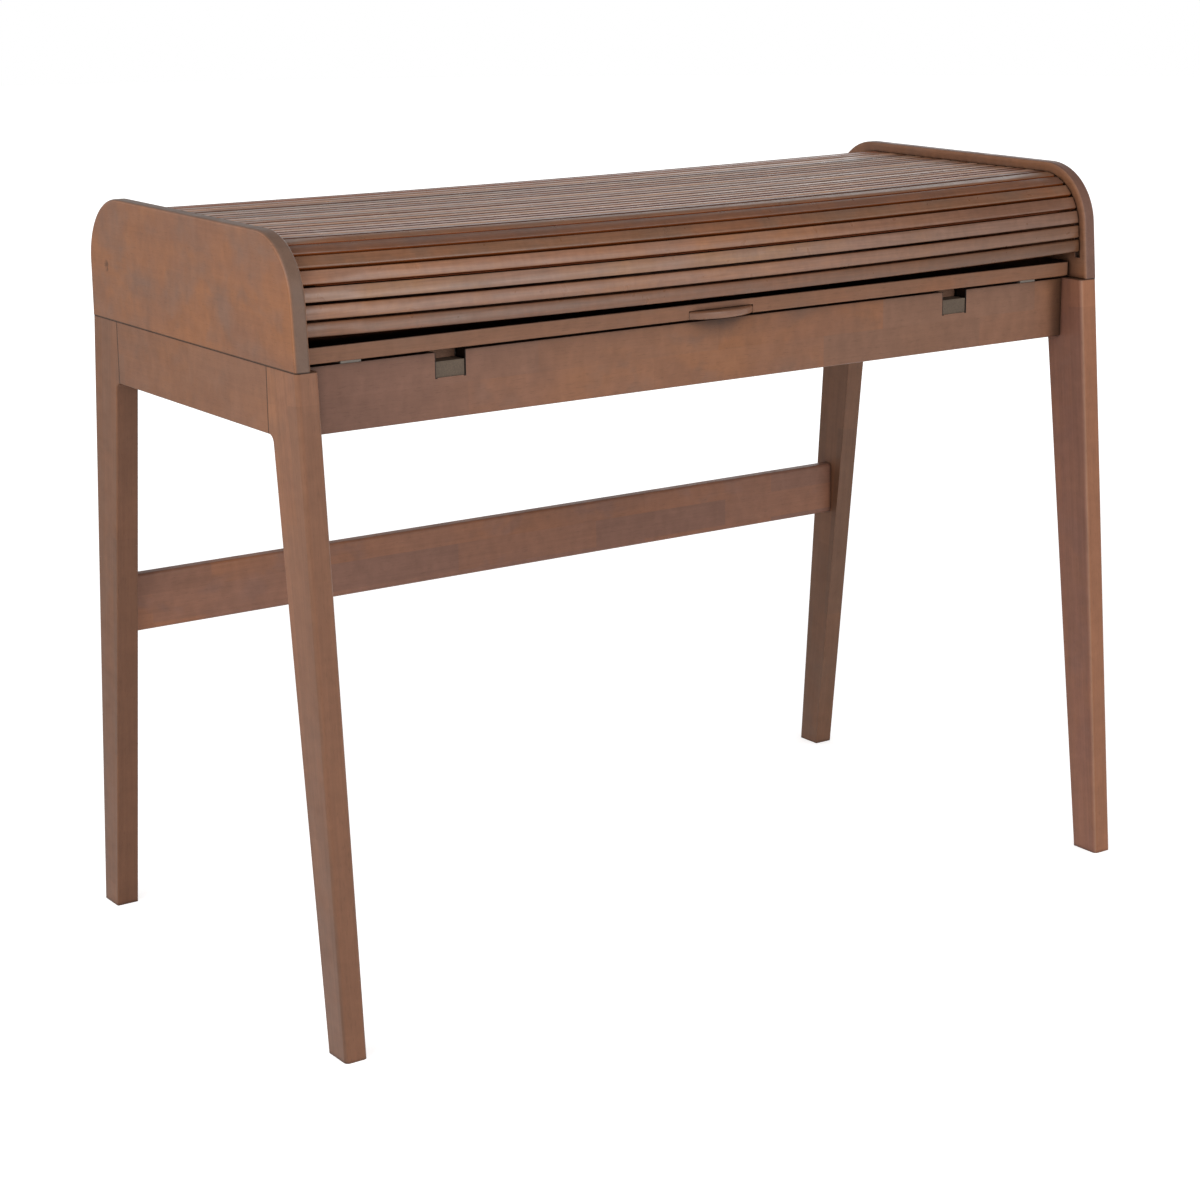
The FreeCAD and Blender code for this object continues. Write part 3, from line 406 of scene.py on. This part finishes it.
# each piece takes the stain its own way; some get painted shade and painted highlights
woods = {
    "leftPanelWood": {"axes": "YZX", "warm": "#8f5f40", "dull": "#7c5c4b", "mottleStrength": 0.09,
                      # a painted highlight line along the front arc's arris
                      "lineStrength": 0.035, "edge": "#6b564a", "arrisHighlight": (0.84, 0.10, 0.22),
                      "seams": [panelJoint],
                      "knots": [((-0.55, 0.1988, 0.7820), 0.0055),
                                ((-0.55, 0.1960, 0.7770), 0.0030)]},
    # a painted highlight line by the front arris, and painted shade on the inner face near the
    # slats
    "rightPanelWood": {"axes": "YZX", "edge": "#6e5045", "arrisHighlight": (0.60, 0.25, 0.25),
                       "recess": (20, 0.35, 0.85, 0.6),
                       "seams": [panelJoint]},
    "sideApronWood": {"axes": "YZX", "stave": (260, 36), "lineStrength": 0.04,
                      "mottleStrength": 0.09, "seams": [legJoint, panelJoint]},
    "apronWood": {"stave": (240, 36), "base": "#865c45", "warm": "#8f5f40", "dull": "#7c5a48",
                  "lineStrength": 0.035, "mottleStrength": 0.10,
                  # painted shadow under the handle
                  "recess": (28, 0.72, 0.98, 0.32),
                  "drift": ("#775547", "X", -0.15, -0.42),
                  # painted shade on the notch's wall beside the runner's end, in each notch
                  "shadePockets": [((0.366, -0.2094, 0.6905), (0.369, -0.19, 0.72)),
                              ((0.331, -0.2094, 0.6905), (0.334, -0.19, 0.72))]},
    "stretcherWood": {"stave": (210, 35), "base": "#875d48", "warm": "#8f5f44",
                      "dull": "#7d5a4c", "lineStrength": 0.05, "mottleStrength": 0.09},
    "frontLeftLegWood": {"axes": "ZYX", "lean": 5.6, "stave": (330, 24), "base": "#8e624a",
                         "warm": "#956547", "edge": "#815943", "drift": ("#735342", "Z", 0.5, 0.1),
                         "seams": [legJoint, panelJoint]},
    "frontRightLegWood": {"axes": "ZYX", "lean": 5.6, "stave": (330, 24), "base": "#875b4a",
                          "warm": "#8d5f47", "dull": "#815a4c", "edge": "#936246",
                          # a painted highlight line by the inner front arris
                          "arrisHighlight": (0.62, 0.35, 0.40), "seams": [legJoint, panelJoint]},
    "rearLeftLegWood": {"axes": "ZYX", "lean": -5.6, "stave": (270, 24), "base": "#7c5640",
                        "warm": "#82573d", "dull": "#785643", "edge": "#6d4a37",
                        "seams": [legJoint, panelJoint]},
    "rearRightLegWood": {"axes": "ZYX", "lean": -5.6, "stave": (270, 24), "base": "#714e3a",
                         "warm": "#774f37", "dull": "#6d4e3c", "seams": [legJoint, panelJoint]},
    "topWood": {"axes": "XYZ", "line": 1.6, "stave": (420, 60), "base": "#7f5841",
                # painted shade in the gap under the curtain, black along the front strip
                "warm": "#85593f", "dull": "#7a5845", "recess": (60, 0.60, 0.88, 0.02),
                "recessFaces": "up", "lip": (topFront + 0.030, topFront + 0.045)},
    "slatEdgeWood": {"axes": "XYZ", "line": 1.6, "base": "#8f4a20", "warm": "#974f22",
                     "dull": "#824420", "wearAndHighlight": 0.1, "gloss": 0.12},
    # near-black painted shade for the grooves of some slats
    "slatGrooveShade": {"axes": "XYZ", "line": 1.6, "base": "#4d2a19", "warm": "#532d1a",
                         "dull": "#482818", "wearAndHighlight": 0, "gloss": 0.03},
    "handleWood": {"axes": "XYZ", "base": "#77523d", "warm": "#7c533a", "gloss": 0.5,
                   "shine": (0.28, 0.36)},
}
# the boards the slats were ripped from differ; the four lowest slats have their own
slatTones = {
    "slatWoodFirst": {"base": "#754f3a", "warm": "#795139", "dull": "#6f4f3d",
                      "drift": ("#60402b", "X", 0.05, 0.45)},
    "slatWoodSecond": {"base": "#8a634e", "warm": "#90654a", "dull": "#866351",
                       "drift": ("#6f4d39", "X", 0.05, 0.45)},
    "slatWoodThird": {"base": "#8d6a58", "warm": "#926c51", "dull": "#896a59",
                      "drift": ("#745241", "X", 0.05, 0.45)},
    "slatWoodFourth": {"base": "#8f6650", "warm": "#95684c", "dull": "#8a6653",
                       "drift": ("#6f4c3a", "X", 0.05, 0.45)},
    "slatWoodMid": {"base": "#8a5f47", "warm": "#906145", "dull": "#845f4a"},
    "slatWoodRed": {"base": "#8d5e4a", "warm": "#935f46", "dull": "#885e4d"},
    "slatWoodPale": {"base": "#a57d69", "warm": "#ac7f60", "dull": "#a17d6a"},
    "slatWoodGrey": {"base": "#836353", "warm": "#88664f", "dull": "#7f6455"},
    "slatWoodDark": {"base": "#7a553e", "warm": "#80553c", "dull": "#755542"},
    "slatWoodDeep": {"base": "#704b38", "warm": "#764d36", "dull": "#6b4b3c"},
}
# finer grain and more lacquer than the frame, painted shade in the grooves, and paler arrises,
# partly a painted highlight
slatGrain = {"axes": "XYZ", "cloud": 60, "mottle": 13, "line": 1.7, "lineStrength": 0.11,
             "poreStrength": 0, "mottleStrength": 0.09, "arris": 0.5, "wearAndHighlight": 0.35, "reach": 4,
             "corner": (0.45, 0.95), "cornerShade": 0.42, "gloss": 0.42, "shine": (0.27, 0.36)}

finishes = {name: stainedWood(name, changes) for name, changes in woods.items()}
for name, changes in slatTones.items():
    finishes[name] = stainedWood(name, {**slatGrain, **changes})
print("stained wood mixed:", len(finishes))


# unfinished woods inside the frame and under the top: pale tone, dark tone, grain axes, mm
# between grain lines
bareWoods = {
    "runnerOak": ("#605041", "#4e4134", "YXZ", 1.4),
    "battenBirch": ("#7f5d47", "#6c4b38", "YXZ", 1.6),
    "blockPine": ("#b8966c", "#9c7a52", "ZXY", 2.4),
    "dowelBeech": ("#c49a6c", "#a67c50", "ZXY", 1.2),
    "liningPly": ("#6d5140", "#59402f", "XYZ", 1.8),
}
planed = {
    "stretch": 0.03,            # how fine the grain is along itself, beside across
    "patch": 18,                # mm
    "patchShare": 0.6,
    "paleSpan": (0.55, 1.0),    # noise where the pale tone starts and is full
    "bump": 0.3,
    "grainDepth": 0.0004,       # metres
    "roughness": 0.68,
}


def bareWood(name, light, dark, order, lineMm):
    # planed and left without lacquer: dull, straight grain, speckled where it is cut across
    finish, tree = newFinish(name)
    place = addNode(tree, "ShaderNodeTexCoord").outputs["Object"]
    split = addNode(tree, "ShaderNodeSeparateXYZ", None, {0: place}).outputs
    along = addNode(tree, "ShaderNodeCombineXYZ", None,
                    {0: split[order[0]], 1: split[order[1]], 2: split[order[2]]}).outputs[0]
    drawn = addNode(tree, "ShaderNodeMapping", None,
                    {"Vector": along, "Scale": (planed["stretch"], 1, 1)}).outputs[0]
    lines = addNode(tree, "ShaderNodeTexNoise", None,
                    {"Vector": drawn, "Scale": per(lineMm), "Detail": 4}).outputs["Fac"]
    patch = addNode(tree, "ShaderNodeTexNoise", None,
                    {"Vector": place, "Scale": per(planed["patch"]), "Detail": 3}).outputs["Fac"]
    mixed = addNode(tree, "ShaderNodeMath", {"operation": "MULTIPLY_ADD", "use_clamp": True},
                    {0: patch, 1: planed["patchShare"], 2: lines}).outputs[0]
    low, high = planed["paleSpan"]
    amount = addNode(tree, "ShaderNodeMapRange", None, {0: mixed, 1: low, 2: high}).outputs[0]
    tone = addNode(tree, "ShaderNodeMix", {"data_type": "RGBA"},
                   {0: amount, 6: colour(dark), 7: colour(light)}).outputs[2]
    relief = addNode(tree, "ShaderNodeBump", None,
                     {"Strength": planed["bump"], "Distance": planed["grainDepth"],
                      "Height": lines}).outputs[0]
    finishUp(tree, addNode(tree, "ShaderNodeBsdfPrincipled", None,
                           {"Base Color": tone, "Roughness": planed["roughness"], "IOR": 1.46,
                            "Normal": relief}))
    return finish


glide = {
    "dark": "#6f655b",
    "pale": "#857b70",
    "sawMark": 1.5,             # mm
    "markDepth": 0.0002,        # metres
    "bump": 0.15,
    "roughness": 0.42,
}


def glideNylon():
    # cut from natural nylon strip: milky, a little waxy, with faint saw marks
    finish, tree = newFinish("glideNylon")
    place = addNode(tree, "ShaderNodeTexCoord").outputs["Object"]
    marks = addNode(tree, "ShaderNodeTexNoise", None,
                    {"Vector": place, "Scale": per(glide["sawMark"]),
                     "Detail": 2}).outputs["Fac"]
    tone = addNode(tree, "ShaderNodeMix", {"data_type": "RGBA"},
                   {0: marks, 6: colour(glide["dark"]), 7: colour(glide["pale"])}).outputs[2]
    relief = addNode(tree, "ShaderNodeBump", None,
                     {"Strength": glide["bump"], "Distance": glide["markDepth"],
                      "Height": marks}).outputs[0]
    finishUp(tree, addNode(tree, "ShaderNodeBsdfPrincipled", None,
                           {"Base Color": tone, "Roughness": glide["roughness"], "IOR": 1.53,
                            "Normal": relief}))
    return finish


screw = {
    "dark": "#9c9fa2",
    "pale": "#c4c6c8",
    "grit": 0.8,                # mm
    "roughness": (0.25, 0.5),   # where it is smooth and where it is scuffed
}


def zincScrew():
    # zinc-plated steel: pale grey metal, scuffed by the driver
    finish, tree = newFinish("zincPlatedSteel")
    place = addNode(tree, "ShaderNodeTexCoord").outputs["Object"]
    grit = addNode(tree, "ShaderNodeTexNoise", None,
                   {"Vector": place, "Scale": per(screw["grit"]), "Detail": 3}).outputs["Fac"]
    smooth, scuffed = screw["roughness"]
    rough = addNode(tree, "ShaderNodeMapRange", None,
                    {0: grit, 3: smooth, 4: scuffed}).outputs[0]
    tone = addNode(tree, "ShaderNodeMix", {"data_type": "RGBA"},
                   {0: grit, 6: colour(screw["dark"]), 7: colour(screw["pale"])}).outputs[2]
    finishUp(tree, addNode(tree, "ShaderNodeBsdfPrincipled", None,
                           {"Base Color": tone, "Metallic": 1, "Roughness": rough}))
    return finish


cloth = {
    "dark": "#7a3a14",
    "pale": "#8c451c",
    "thread": 1.2,              # mm, real threads are 0.6 apart and would not show
    "uneven": 0.6,
    "threadDepth": 0.0004,      # metres
    "bump": 0.4,
    "roughness": 0.9,
}


def canvasCloth():
    # cotton canvas, plain weave, glued to the slats' backs: dark brown, dull and slightly furry
    finish, tree = newFinish("cottonCanvas")
    threads = per(cloth["thread"]) * pi / 10    # a wave texture repeats every pi / 10 of its scale
    place = addNode(tree, "ShaderNodeTexCoord").outputs["Object"]
    warp = addNode(tree, "ShaderNodeTexWave", {"bands_direction": "X"},
                   {"Vector": place, "Scale": threads,
                    "Distortion": cloth["uneven"]}).outputs["Fac"]
    weft = addNode(tree, "ShaderNodeTexWave", {"bands_direction": "Y"},
                   {"Vector": place, "Scale": threads,
                    "Distortion": cloth["uneven"]}).outputs["Fac"]
    weave = addNode(tree, "ShaderNodeMath", {"operation": "MULTIPLY"},
                    {0: warp, 1: weft}).outputs[0]
    tone = addNode(tree, "ShaderNodeMix", {"data_type": "RGBA"},
                   {0: weave, 6: colour(cloth["dark"]), 7: colour(cloth["pale"])}).outputs[2]
    relief = addNode(tree, "ShaderNodeBump", None,
                     {"Strength": cloth["bump"], "Distance": cloth["threadDepth"],
                      "Height": weave}).outputs[0]
    finishUp(tree, addNode(tree, "ShaderNodeBsdfPrincipled", None,
                           {"Base Color": tone, "Roughness": cloth["roughness"],
                            "Normal": relief}))
    return finish


for name, given in bareWoods.items():
    finishes[name] = bareWood(name, *given)
finishes["glideNylon"] = glideNylon()
finishes["zincPlatedSteel"] = zincScrew()
finishes["cottonCanvas"] = canvasCloth()
print("other finishes mixed")


wears = {
    "leftPanelWood": ["left_side_panel"],
    "rightPanelWood": ["right_side_panel"],
    "sideApronWood": ["left_side_apron", "right_side_apron"],
    "apronWood": ["front_apron", "rear_apron"],
    "stretcherWood": ["rear_stretcher"],
    "frontLeftLegWood": ["front_left_leg"],
    "frontRightLegWood": ["front_right_leg"],
    "rearLeftLegWood": ["rear_left_leg"],
    "rearRightLegWood": ["rear_right_leg"],
    "topWood": ["writing_top", "tail_cleat"],
    "handleWood": ["pull_handle"],
    "runnerOak": ["left_runner", "right_runner"],
    "battenBirch": ["top_battens"],
    "blockPine": ["corner_blocks"],
    "dowelBeech": ["frame_dowels"],
    "liningPly": ["inner_floor", "inner_back", "bottom_board"],
    "glideNylon": ["glide_pads"],
    "zincPlatedSteel": ["corner_screws"],
}
# neighbours differ in tone; the order starts again after its last
slatOrder = ["First", "Second", "Third", "Fourth", "Dark", "Deep", "Dark", "Deep", "Pale", "Red",
             "Pale", "Mid", "Pale", "Dark", "Pale", "Mid", "Grey", "Pale", "Deep", "Mid", "Pale",
             "Grey", "Dark", "Pale", "Mid", "Red", "Dark"]


def dress(nodeName, finish):
    mesh = nodes[nodeName].data
    if not mesh.materials:
        mesh.materials.append(finish)
    for index in range(len(mesh.materials)):
        mesh.materials[index] = finish


for finishName, wearers in wears.items():
    for wearer in wearers:
        dress(wearer, finishes[finishName])
slatCount = sum(1 for name in nodes if name.startswith("tambour_slat_"))
for number in range(1, slatCount + 1):
    tone = slatOrder[(number - 1) % len(slatOrder)]
    dress(f"tambour_slat_{number:02d}", finishes["slatWood" + tone])
print("nodes dressed")


# the curtain's middle line in the YZ plane: front run, front bend, flat top, rear bend, low run
curtain = {
    "lean": 4.5,                        # degrees, the front run
    "frontArc": (-0.16347, 0.781),      # centre of the front bend, Y and Z
    "frontRadius": 0.0602,
    "topLevel": 0.8412,
    "rearArc": (0.1593, 0.786),
    "rearRadius": 0.0552,
    "lowLevel": 0.7308,
    "frontRun": 0.03483,
    "pitch": 0.017357,
    "slatBack": 0.0040,                 # slat's middle to its back face
    "halfSpan": 0.532,                  # from the middle to a groove
    "sag": (0.0053, 0.0034),            # how far the slats hang through: in front, at the rear
    "heldSlats": 5,                     # the tail's last slats lie straighter, held by the cleat
    "cuts": 13,                         # planes that cut a slat across, so that it can bow
    "shadedGrooves": (8, 10, 11, 13, 16, 21, 23),     # slats whose chamfers get near-black painted shade, the grooves' shadow
    "faceLimit": 0.9,                   # how squarely the outer face alone looks outward
    "chamferLimit": 0.5,                # and its chamfers
    "mergeDistance": 0.00001,           # metres, joins the loose triangles of a solid
    "smoothAngle": 25,                  # degrees
}
canvas = {
    "length": 1.02,
    "width": 0.0142,                    # narrower than the pitch, so that it can go round a bend
    "thickness": 0.0006,
    "hem": 0.012,
    "edgeShare": 0.3,                   # of the thickness, rounded off
}


def trackPlace(distance):
    # Y, Z and heading of the curtain's middle line, so far from its front edge
    lean = radians(curtain["lean"])
    y, z = curtain["frontArc"]
    radius = curtain["frontRadius"]
    run = curtain["frontRun"]
    if distance < run:
        back = run - distance
        return (y - radius * cos(lean) - back * sin(lean),
                z + radius * sin(lean) - back * cos(lean), pi / 2 - lean)
    distance -= run
    bendLength = radius * (pi / 2 - lean)
    if distance < bendLength:
        heading = pi / 2 - lean - distance / radius
        return y - radius * sin(heading), z + radius * cos(heading), heading
    distance -= bendLength
    rearY, rearZ = curtain["rearArc"]
    if distance < rearY - y:
        return y + distance, curtain["topLevel"], 0
    distance -= rearY - y
    radius = curtain["rearRadius"]
    if distance < pi * radius:
        heading = -distance / radius
        return rearY - radius * sin(heading), rearZ + radius * cos(heading), heading
    return rearY - (distance - pi * radius), curtain["lowLevel"], -pi


def sagAt(number):
    # which way and how far a slat hangs through: down where the curtain shows, and only square
    # to the slat's face in the rear bend and behind it
    y, z, heading = trackPlace((number - 0.5) * curtain["pitch"])
    front, rear = curtain["frontArc"][0], curtain["rearArc"][0]
    back = min(1, max(0, (y - front) / (rear - front)))
    depth = curtain["sag"][0] * (1 - back) + curtain["sag"][1] * back
    down = Vector((0, 0, -1))
    if heading < 0:
        down = Vector((0, sin(heading), -cos(heading))) * cos(heading)
    held = min(1, (slatCount - number) / curtain["heldSlats"])
    return down * depth * held


def cutAcross(piece):
    deselect()
    piece.select_set(True)
    bpy.context.view_layer.objects.active = piece
    bpy.ops.object.mode_set(mode="EDIT")
    bpy.ops.mesh.select_all(action="SELECT")
    bpy.ops.mesh.remove_doubles(threshold=curtain["mergeDistance"])
    steps = curtain["cuts"] + 1
    for step in range(1, steps):
        bpy.ops.mesh.select_all(action="SELECT")
        bpy.ops.mesh.bisect(plane_co=(curtain["halfSpan"] * (2 * step / steps - 1), 0, 0),
                            plane_no=(1, 0, 0))
    bpy.ops.object.mode_set(mode="OBJECT")


def stainEdgesAndShadeGrooves(slat, number, heading):
    # the outer face and its chamfers are clear; the narrow faces and the back are redder, but
    # not on the first slat, whose front edge shows. On some slats the chamfers, narrow faces and
    # back get near-black painted shade instead, for the shadow in the grooves.
    if number == 1:
        return
    outward = Vector((0, -sin(heading), cos(heading)))
    dark = number in curtain["shadedGrooves"]
    slat.data.materials.append(finishes["slatGrooveShade" if dark else "slatEdgeWood"])
    limit = curtain["faceLimit" if dark else "chamferLimit"]
    for face in slat.data.polygons:
        face.material_index = 0 if face.normal.dot(outward) > limit else 1


def bow(piece, move):
    for vertex in piece.data.vertices:
        vertex.co += move * (1 - (vertex.co.x / curtain["halfSpan"]) ** 2)


def makeCanvasStrip():
    # one strip lying flat at the origin: a cube drawn out, its hems marked by two cuts
    deselect()
    bpy.ops.mesh.primitive_cube_add(size=1)
    strip = bpy.context.active_object
    strip.scale = (canvas["length"], canvas["width"], canvas["thickness"])
    bpy.ops.object.transform_apply(location=False, rotation=False, scale=True)
    bpy.ops.object.mode_set(mode="EDIT")
    for side in (-1, 1):
        bpy.ops.mesh.select_all(action="SELECT")
        bpy.ops.mesh.bisect(plane_co=(side * (canvas["length"] / 2 - canvas["hem"]), 0, 0),
                            plane_no=(1, 0, 0))
    bpy.ops.mesh.select_all(action="SELECT")
    bpy.ops.mesh.bevel(offset=canvas["thickness"] * canvas["edgeShare"], segments=1)
    bpy.ops.object.mode_set(mode="OBJECT")
    return strip


bodyOf = {}
for bodyName, members in frame["record"]["behaviour"]["bodies"].items():
    for member in members:
        bodyOf[member] = bodyName

# each slat again, bowed, in place of the straight one
for number in range(1, slatCount + 1):
    straight = f"tambour_slat_{number:02d}"
    slat = bpy.data.objects.new(f"bowed_slat_{number:02d}", nodes[straight].data.copy())
    bpy.context.scene.collection.objects.link(slat)
    cutAcross(slat)
    stainEdgesAndShadeGrooves(slat, number, trackPlace((number - 0.5) * curtain["pitch"])[2])
    bow(slat, sagAt(number))
    bpy.ops.object.shade_smooth_by_angle(angle=radians(curtain["smoothAngle"]))
    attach(slat, bodyOf[straight])
    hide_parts(straight)
deselect()
print("slats bowed:", slatCount)

master = makeCanvasStrip()
cutAcross(master)
for number in range(1, slatCount + 1):
    y, z, heading = trackPlace((number - 0.5) * curtain["pitch"])
    down = curtain["slatBack"] + canvas["thickness"] / 2
    strip = bpy.data.objects.new(f"canvas_strip_{number:02d}", master.data.copy())
    bpy.context.scene.collection.objects.link(strip)
    strip.data.transform(Matrix.Translation((0, y + down * sin(heading), z - down * cos(heading)))
                         @ Matrix.Rotation(heading, 4, "X"))
    bow(strip, sagAt(number))
    strip.data.materials.clear()
    strip.data.materials.append(finishes["cottonCanvas"])
    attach(strip, bodyOf[f"tambour_slat_{number:02d}"])
bpy.data.objects.remove(master)
print("canvas strips glued on:", slatCount)


# plain daylight studio: a pale floor, a wide soft sky with less light from above, two lamps.
# What shiny things see of it is set apart, as a real studio has dark and light sides.
studio = {
    "floor": "#e6e6e6",
    "floorRadius": 14,
    "floorSides": 96,
    "floorGlow": (0.62, 0.82),  # lifts the floor to white where it is seen, near and far
    "floorReach": (1.2, 3.5),   # metres from the desk's middle where near ends and far starts
    "floorGloss": (0.0, 0.95),  # what shiny things see of it: behind on the left, in front right
    "glossSide": (-3, 3),       # X less Y in metres, where one ends and the other starts
    "glossFade": (1.5, 3.7, 0.45),      # less far out on the right: metres from and to, share
    "walls": 1.4,               # soft light from all round, low down
    "ceiling": 0.45,            # and little from above
    "wallTop": (0.20, 0.55),    # height of the direction where walls end and the ceiling starts
    "wallGloss": (0.62, 1.68),  # what shiny things see of the walls behind: ahead and right
    "wallTurn": (0.45, 0.72),   # X of the direction where one ends and the other starts
    "frontGloss": (0.90, 0.45),     # the same for the walls in front: middle and right
    "frontTurn": (0.52, 0.70),
    "frontToBehind": (-0.1, 0.1),   # Y of the direction
    "ceilingGloss": 0.12,       # the ceiling in shiny things
    "glossTop": (0.15, 0.65),   # and the heights between which it takes over
    "key": {"place": (-1.7, -0.5, 1.5), "aim": (-0.3, -0.1, 0.65), "watts": 11.5, "size": 0.8},
    "fill": {"place": (0.5, -1.9, 1.2), "aim": (-0.1, -0.1, 0.65), "watts": 8.3, "size": 1.0},
}


def makeFloor():
    deselect()
    bpy.ops.mesh.primitive_circle_add(vertices=studio["floorSides"],
                                      radius=studio["floorRadius"], fill_type="NGON")
    floor = bpy.context.active_object
    floor.name = "studioFloor"
    finish, tree = newFinish("paintedStudioFloor")
    ray = addNode(tree, "ShaderNodeLightPath").outputs
    seen = addNode(tree, "ShaderNodeMath", {"operation": "MAXIMUM"},
                   {0: ray["Is Camera Ray"], 1: ray["Is Glossy Ray"]}).outputs[0]
    seen = addNode(tree, "ShaderNodeMath", {"operation": "MAXIMUM"},
                   {0: seen, 1: ray["Is Transmission Ray"]}).outputs[0]
    place = addNode(tree, "ShaderNodeTexCoord").outputs["Object"]
    away = addNode(tree, "ShaderNodeVectorMath", {"operation": "LENGTH"},
                   {0: place}).outputs["Value"]
    near, far = studio["floorReach"]
    low, high = studio["floorGlow"]
    amount = addNode(tree, "ShaderNodeMapRange", {"interpolation_type": "SMOOTHSTEP"},
                     {0: away, 1: near, 2: far, 3: low, 4: high}).outputs[0]
    spots = addNode(tree, "ShaderNodeSeparateXYZ", None, {0: place}).outputs
    side = addNode(tree, "ShaderNodeMath", {"operation": "SUBTRACT"},
                   {0: spots["X"], 1: spots["Y"]}).outputs[0]
    behind, front = studio["floorGloss"]
    sideStart, sideEnd = studio["glossSide"]
    gloss = addNode(tree, "ShaderNodeMapRange", {"interpolation_type": "SMOOTHSTEP"},
                    {0: side, 1: sideStart, 2: sideEnd, 3: behind, 4: front}).outputs[0]
    fadeStart, fadeEnd, faded = studio["glossFade"]
    fade = addNode(tree, "ShaderNodeMapRange", {"interpolation_type": "SMOOTHSTEP"},
                   {0: spots["X"], 1: fadeStart, 2: fadeEnd, 3: 1, 4: faded}).outputs[0]
    gloss = addNode(tree, "ShaderNodeMath", {"operation": "MULTIPLY"},
                    {0: gloss, 1: fade}).outputs[0]
    amount = addNode(tree, "ShaderNodeMix", {"data_type": "FLOAT"},
                     {0: ray["Is Glossy Ray"], 2: amount, 3: gloss}).outputs[0]
    glow = addNode(tree, "ShaderNodeMath", {"operation": "MULTIPLY"},
                   {0: seen, 1: amount}).outputs[0]
    paint = addNode(tree, "ShaderNodeBsdfDiffuse", None, {"Color": colour(studio["floor"])})
    shine = addNode(tree, "ShaderNodeEmission", None, {"Strength": glow})
    finishUp(tree, addNode(tree, "ShaderNodeAddShader", None,
                           {0: paint.outputs[0], 1: shine.outputs[0]}))
    floor.data.materials.append(finish)


def makeSky():
    world = bpy.data.worlds.new("studioSky")
    world.use_nodes = True
    tree = world.node_tree
    tree.nodes.clear()
    ray = addNode(tree, "ShaderNodeLightPath").outputs
    toward = addNode(tree, "ShaderNodeTexCoord").outputs["Generated"]
    parts = addNode(tree, "ShaderNodeSeparateXYZ", None, {0: toward}).outputs
    ahead, right = studio["wallGloss"]
    turnStart, turnEnd = studio["wallTurn"]
    wall = addNode(tree, "ShaderNodeMapRange", None,
                   {0: parts["X"], 1: turnStart, 2: turnEnd, 3: ahead, 4: right}).outputs[0]
    middle, farRight = studio["frontGloss"]
    turnStart, turnEnd = studio["frontTurn"]
    front = addNode(tree, "ShaderNodeMapRange", None,
                    {0: parts["X"], 1: turnStart, 2: turnEnd, 3: middle, 4: farRight}).outputs[0]
    frontEnd, behindStart = studio["frontToBehind"]
    behind = addNode(tree, "ShaderNodeMapRange", None,
                     {0: parts["Y"], 1: frontEnd, 2: behindStart}).outputs[0]
    wall = addNode(tree, "ShaderNodeMix", {"data_type": "FLOAT"},
                   {0: behind, 2: front, 3: wall}).outputs[0]
    low, high = studio["wallTop"]
    light = addNode(tree, "ShaderNodeMapRange", None,
                    {0: parts["Z"], 1: low, 2: high, 3: studio["walls"], 4: studio["ceiling"]})
    low, high = studio["glossTop"]
    gloss = addNode(tree, "ShaderNodeMapRange", None,
                    {0: parts["Z"], 1: low, 2: high, 3: wall, 4: studio["ceilingGloss"]})
    lit = addNode(tree, "ShaderNodeMix", {"data_type": "FLOAT"},
                  {0: ray["Is Glossy Ray"], 2: light.outputs[0], 3: gloss.outputs[0]}).outputs[0]
    seen = addNode(tree, "ShaderNodeMath", {"operation": "MAXIMUM"},
                   {0: ray["Is Camera Ray"], 1: ray["Is Transmission Ray"]}).outputs[0]
    strength = addNode(tree, "ShaderNodeMix", {"data_type": "FLOAT"},
                       {0: seen, 2: lit, 3: 1.0}).outputs[0]
    back = addNode(tree, "ShaderNodeBackground", None,
                   {"Color": (1, 1, 1, 1), "Strength": strength})
    addNode(tree, "ShaderNodeOutputWorld", None, {"Surface": back.outputs[0]})
    bpy.context.scene.world = world


def hangLamp(name, given):
    data = bpy.data.lights.new(name, "AREA")
    data.energy = given["watts"]
    data.size = given["size"]
    lamp = bpy.data.objects.new(name, data)
    bpy.context.scene.collection.objects.link(lamp)
    lamp.location = given["place"]
    lamp.rotation_mode = "QUATERNION"
    lamp.rotation_quaternion = (Vector(given["place"])
                                - Vector(given["aim"])).to_track_quat("Z", "Y")


makeFloor()
makeSky()
hangLamp("keyLamp", studio["key"])
hangLamp("fillLamp", studio["fill"])
bpy.context.scene.view_settings.view_transform = "Standard"
print("studio lit")
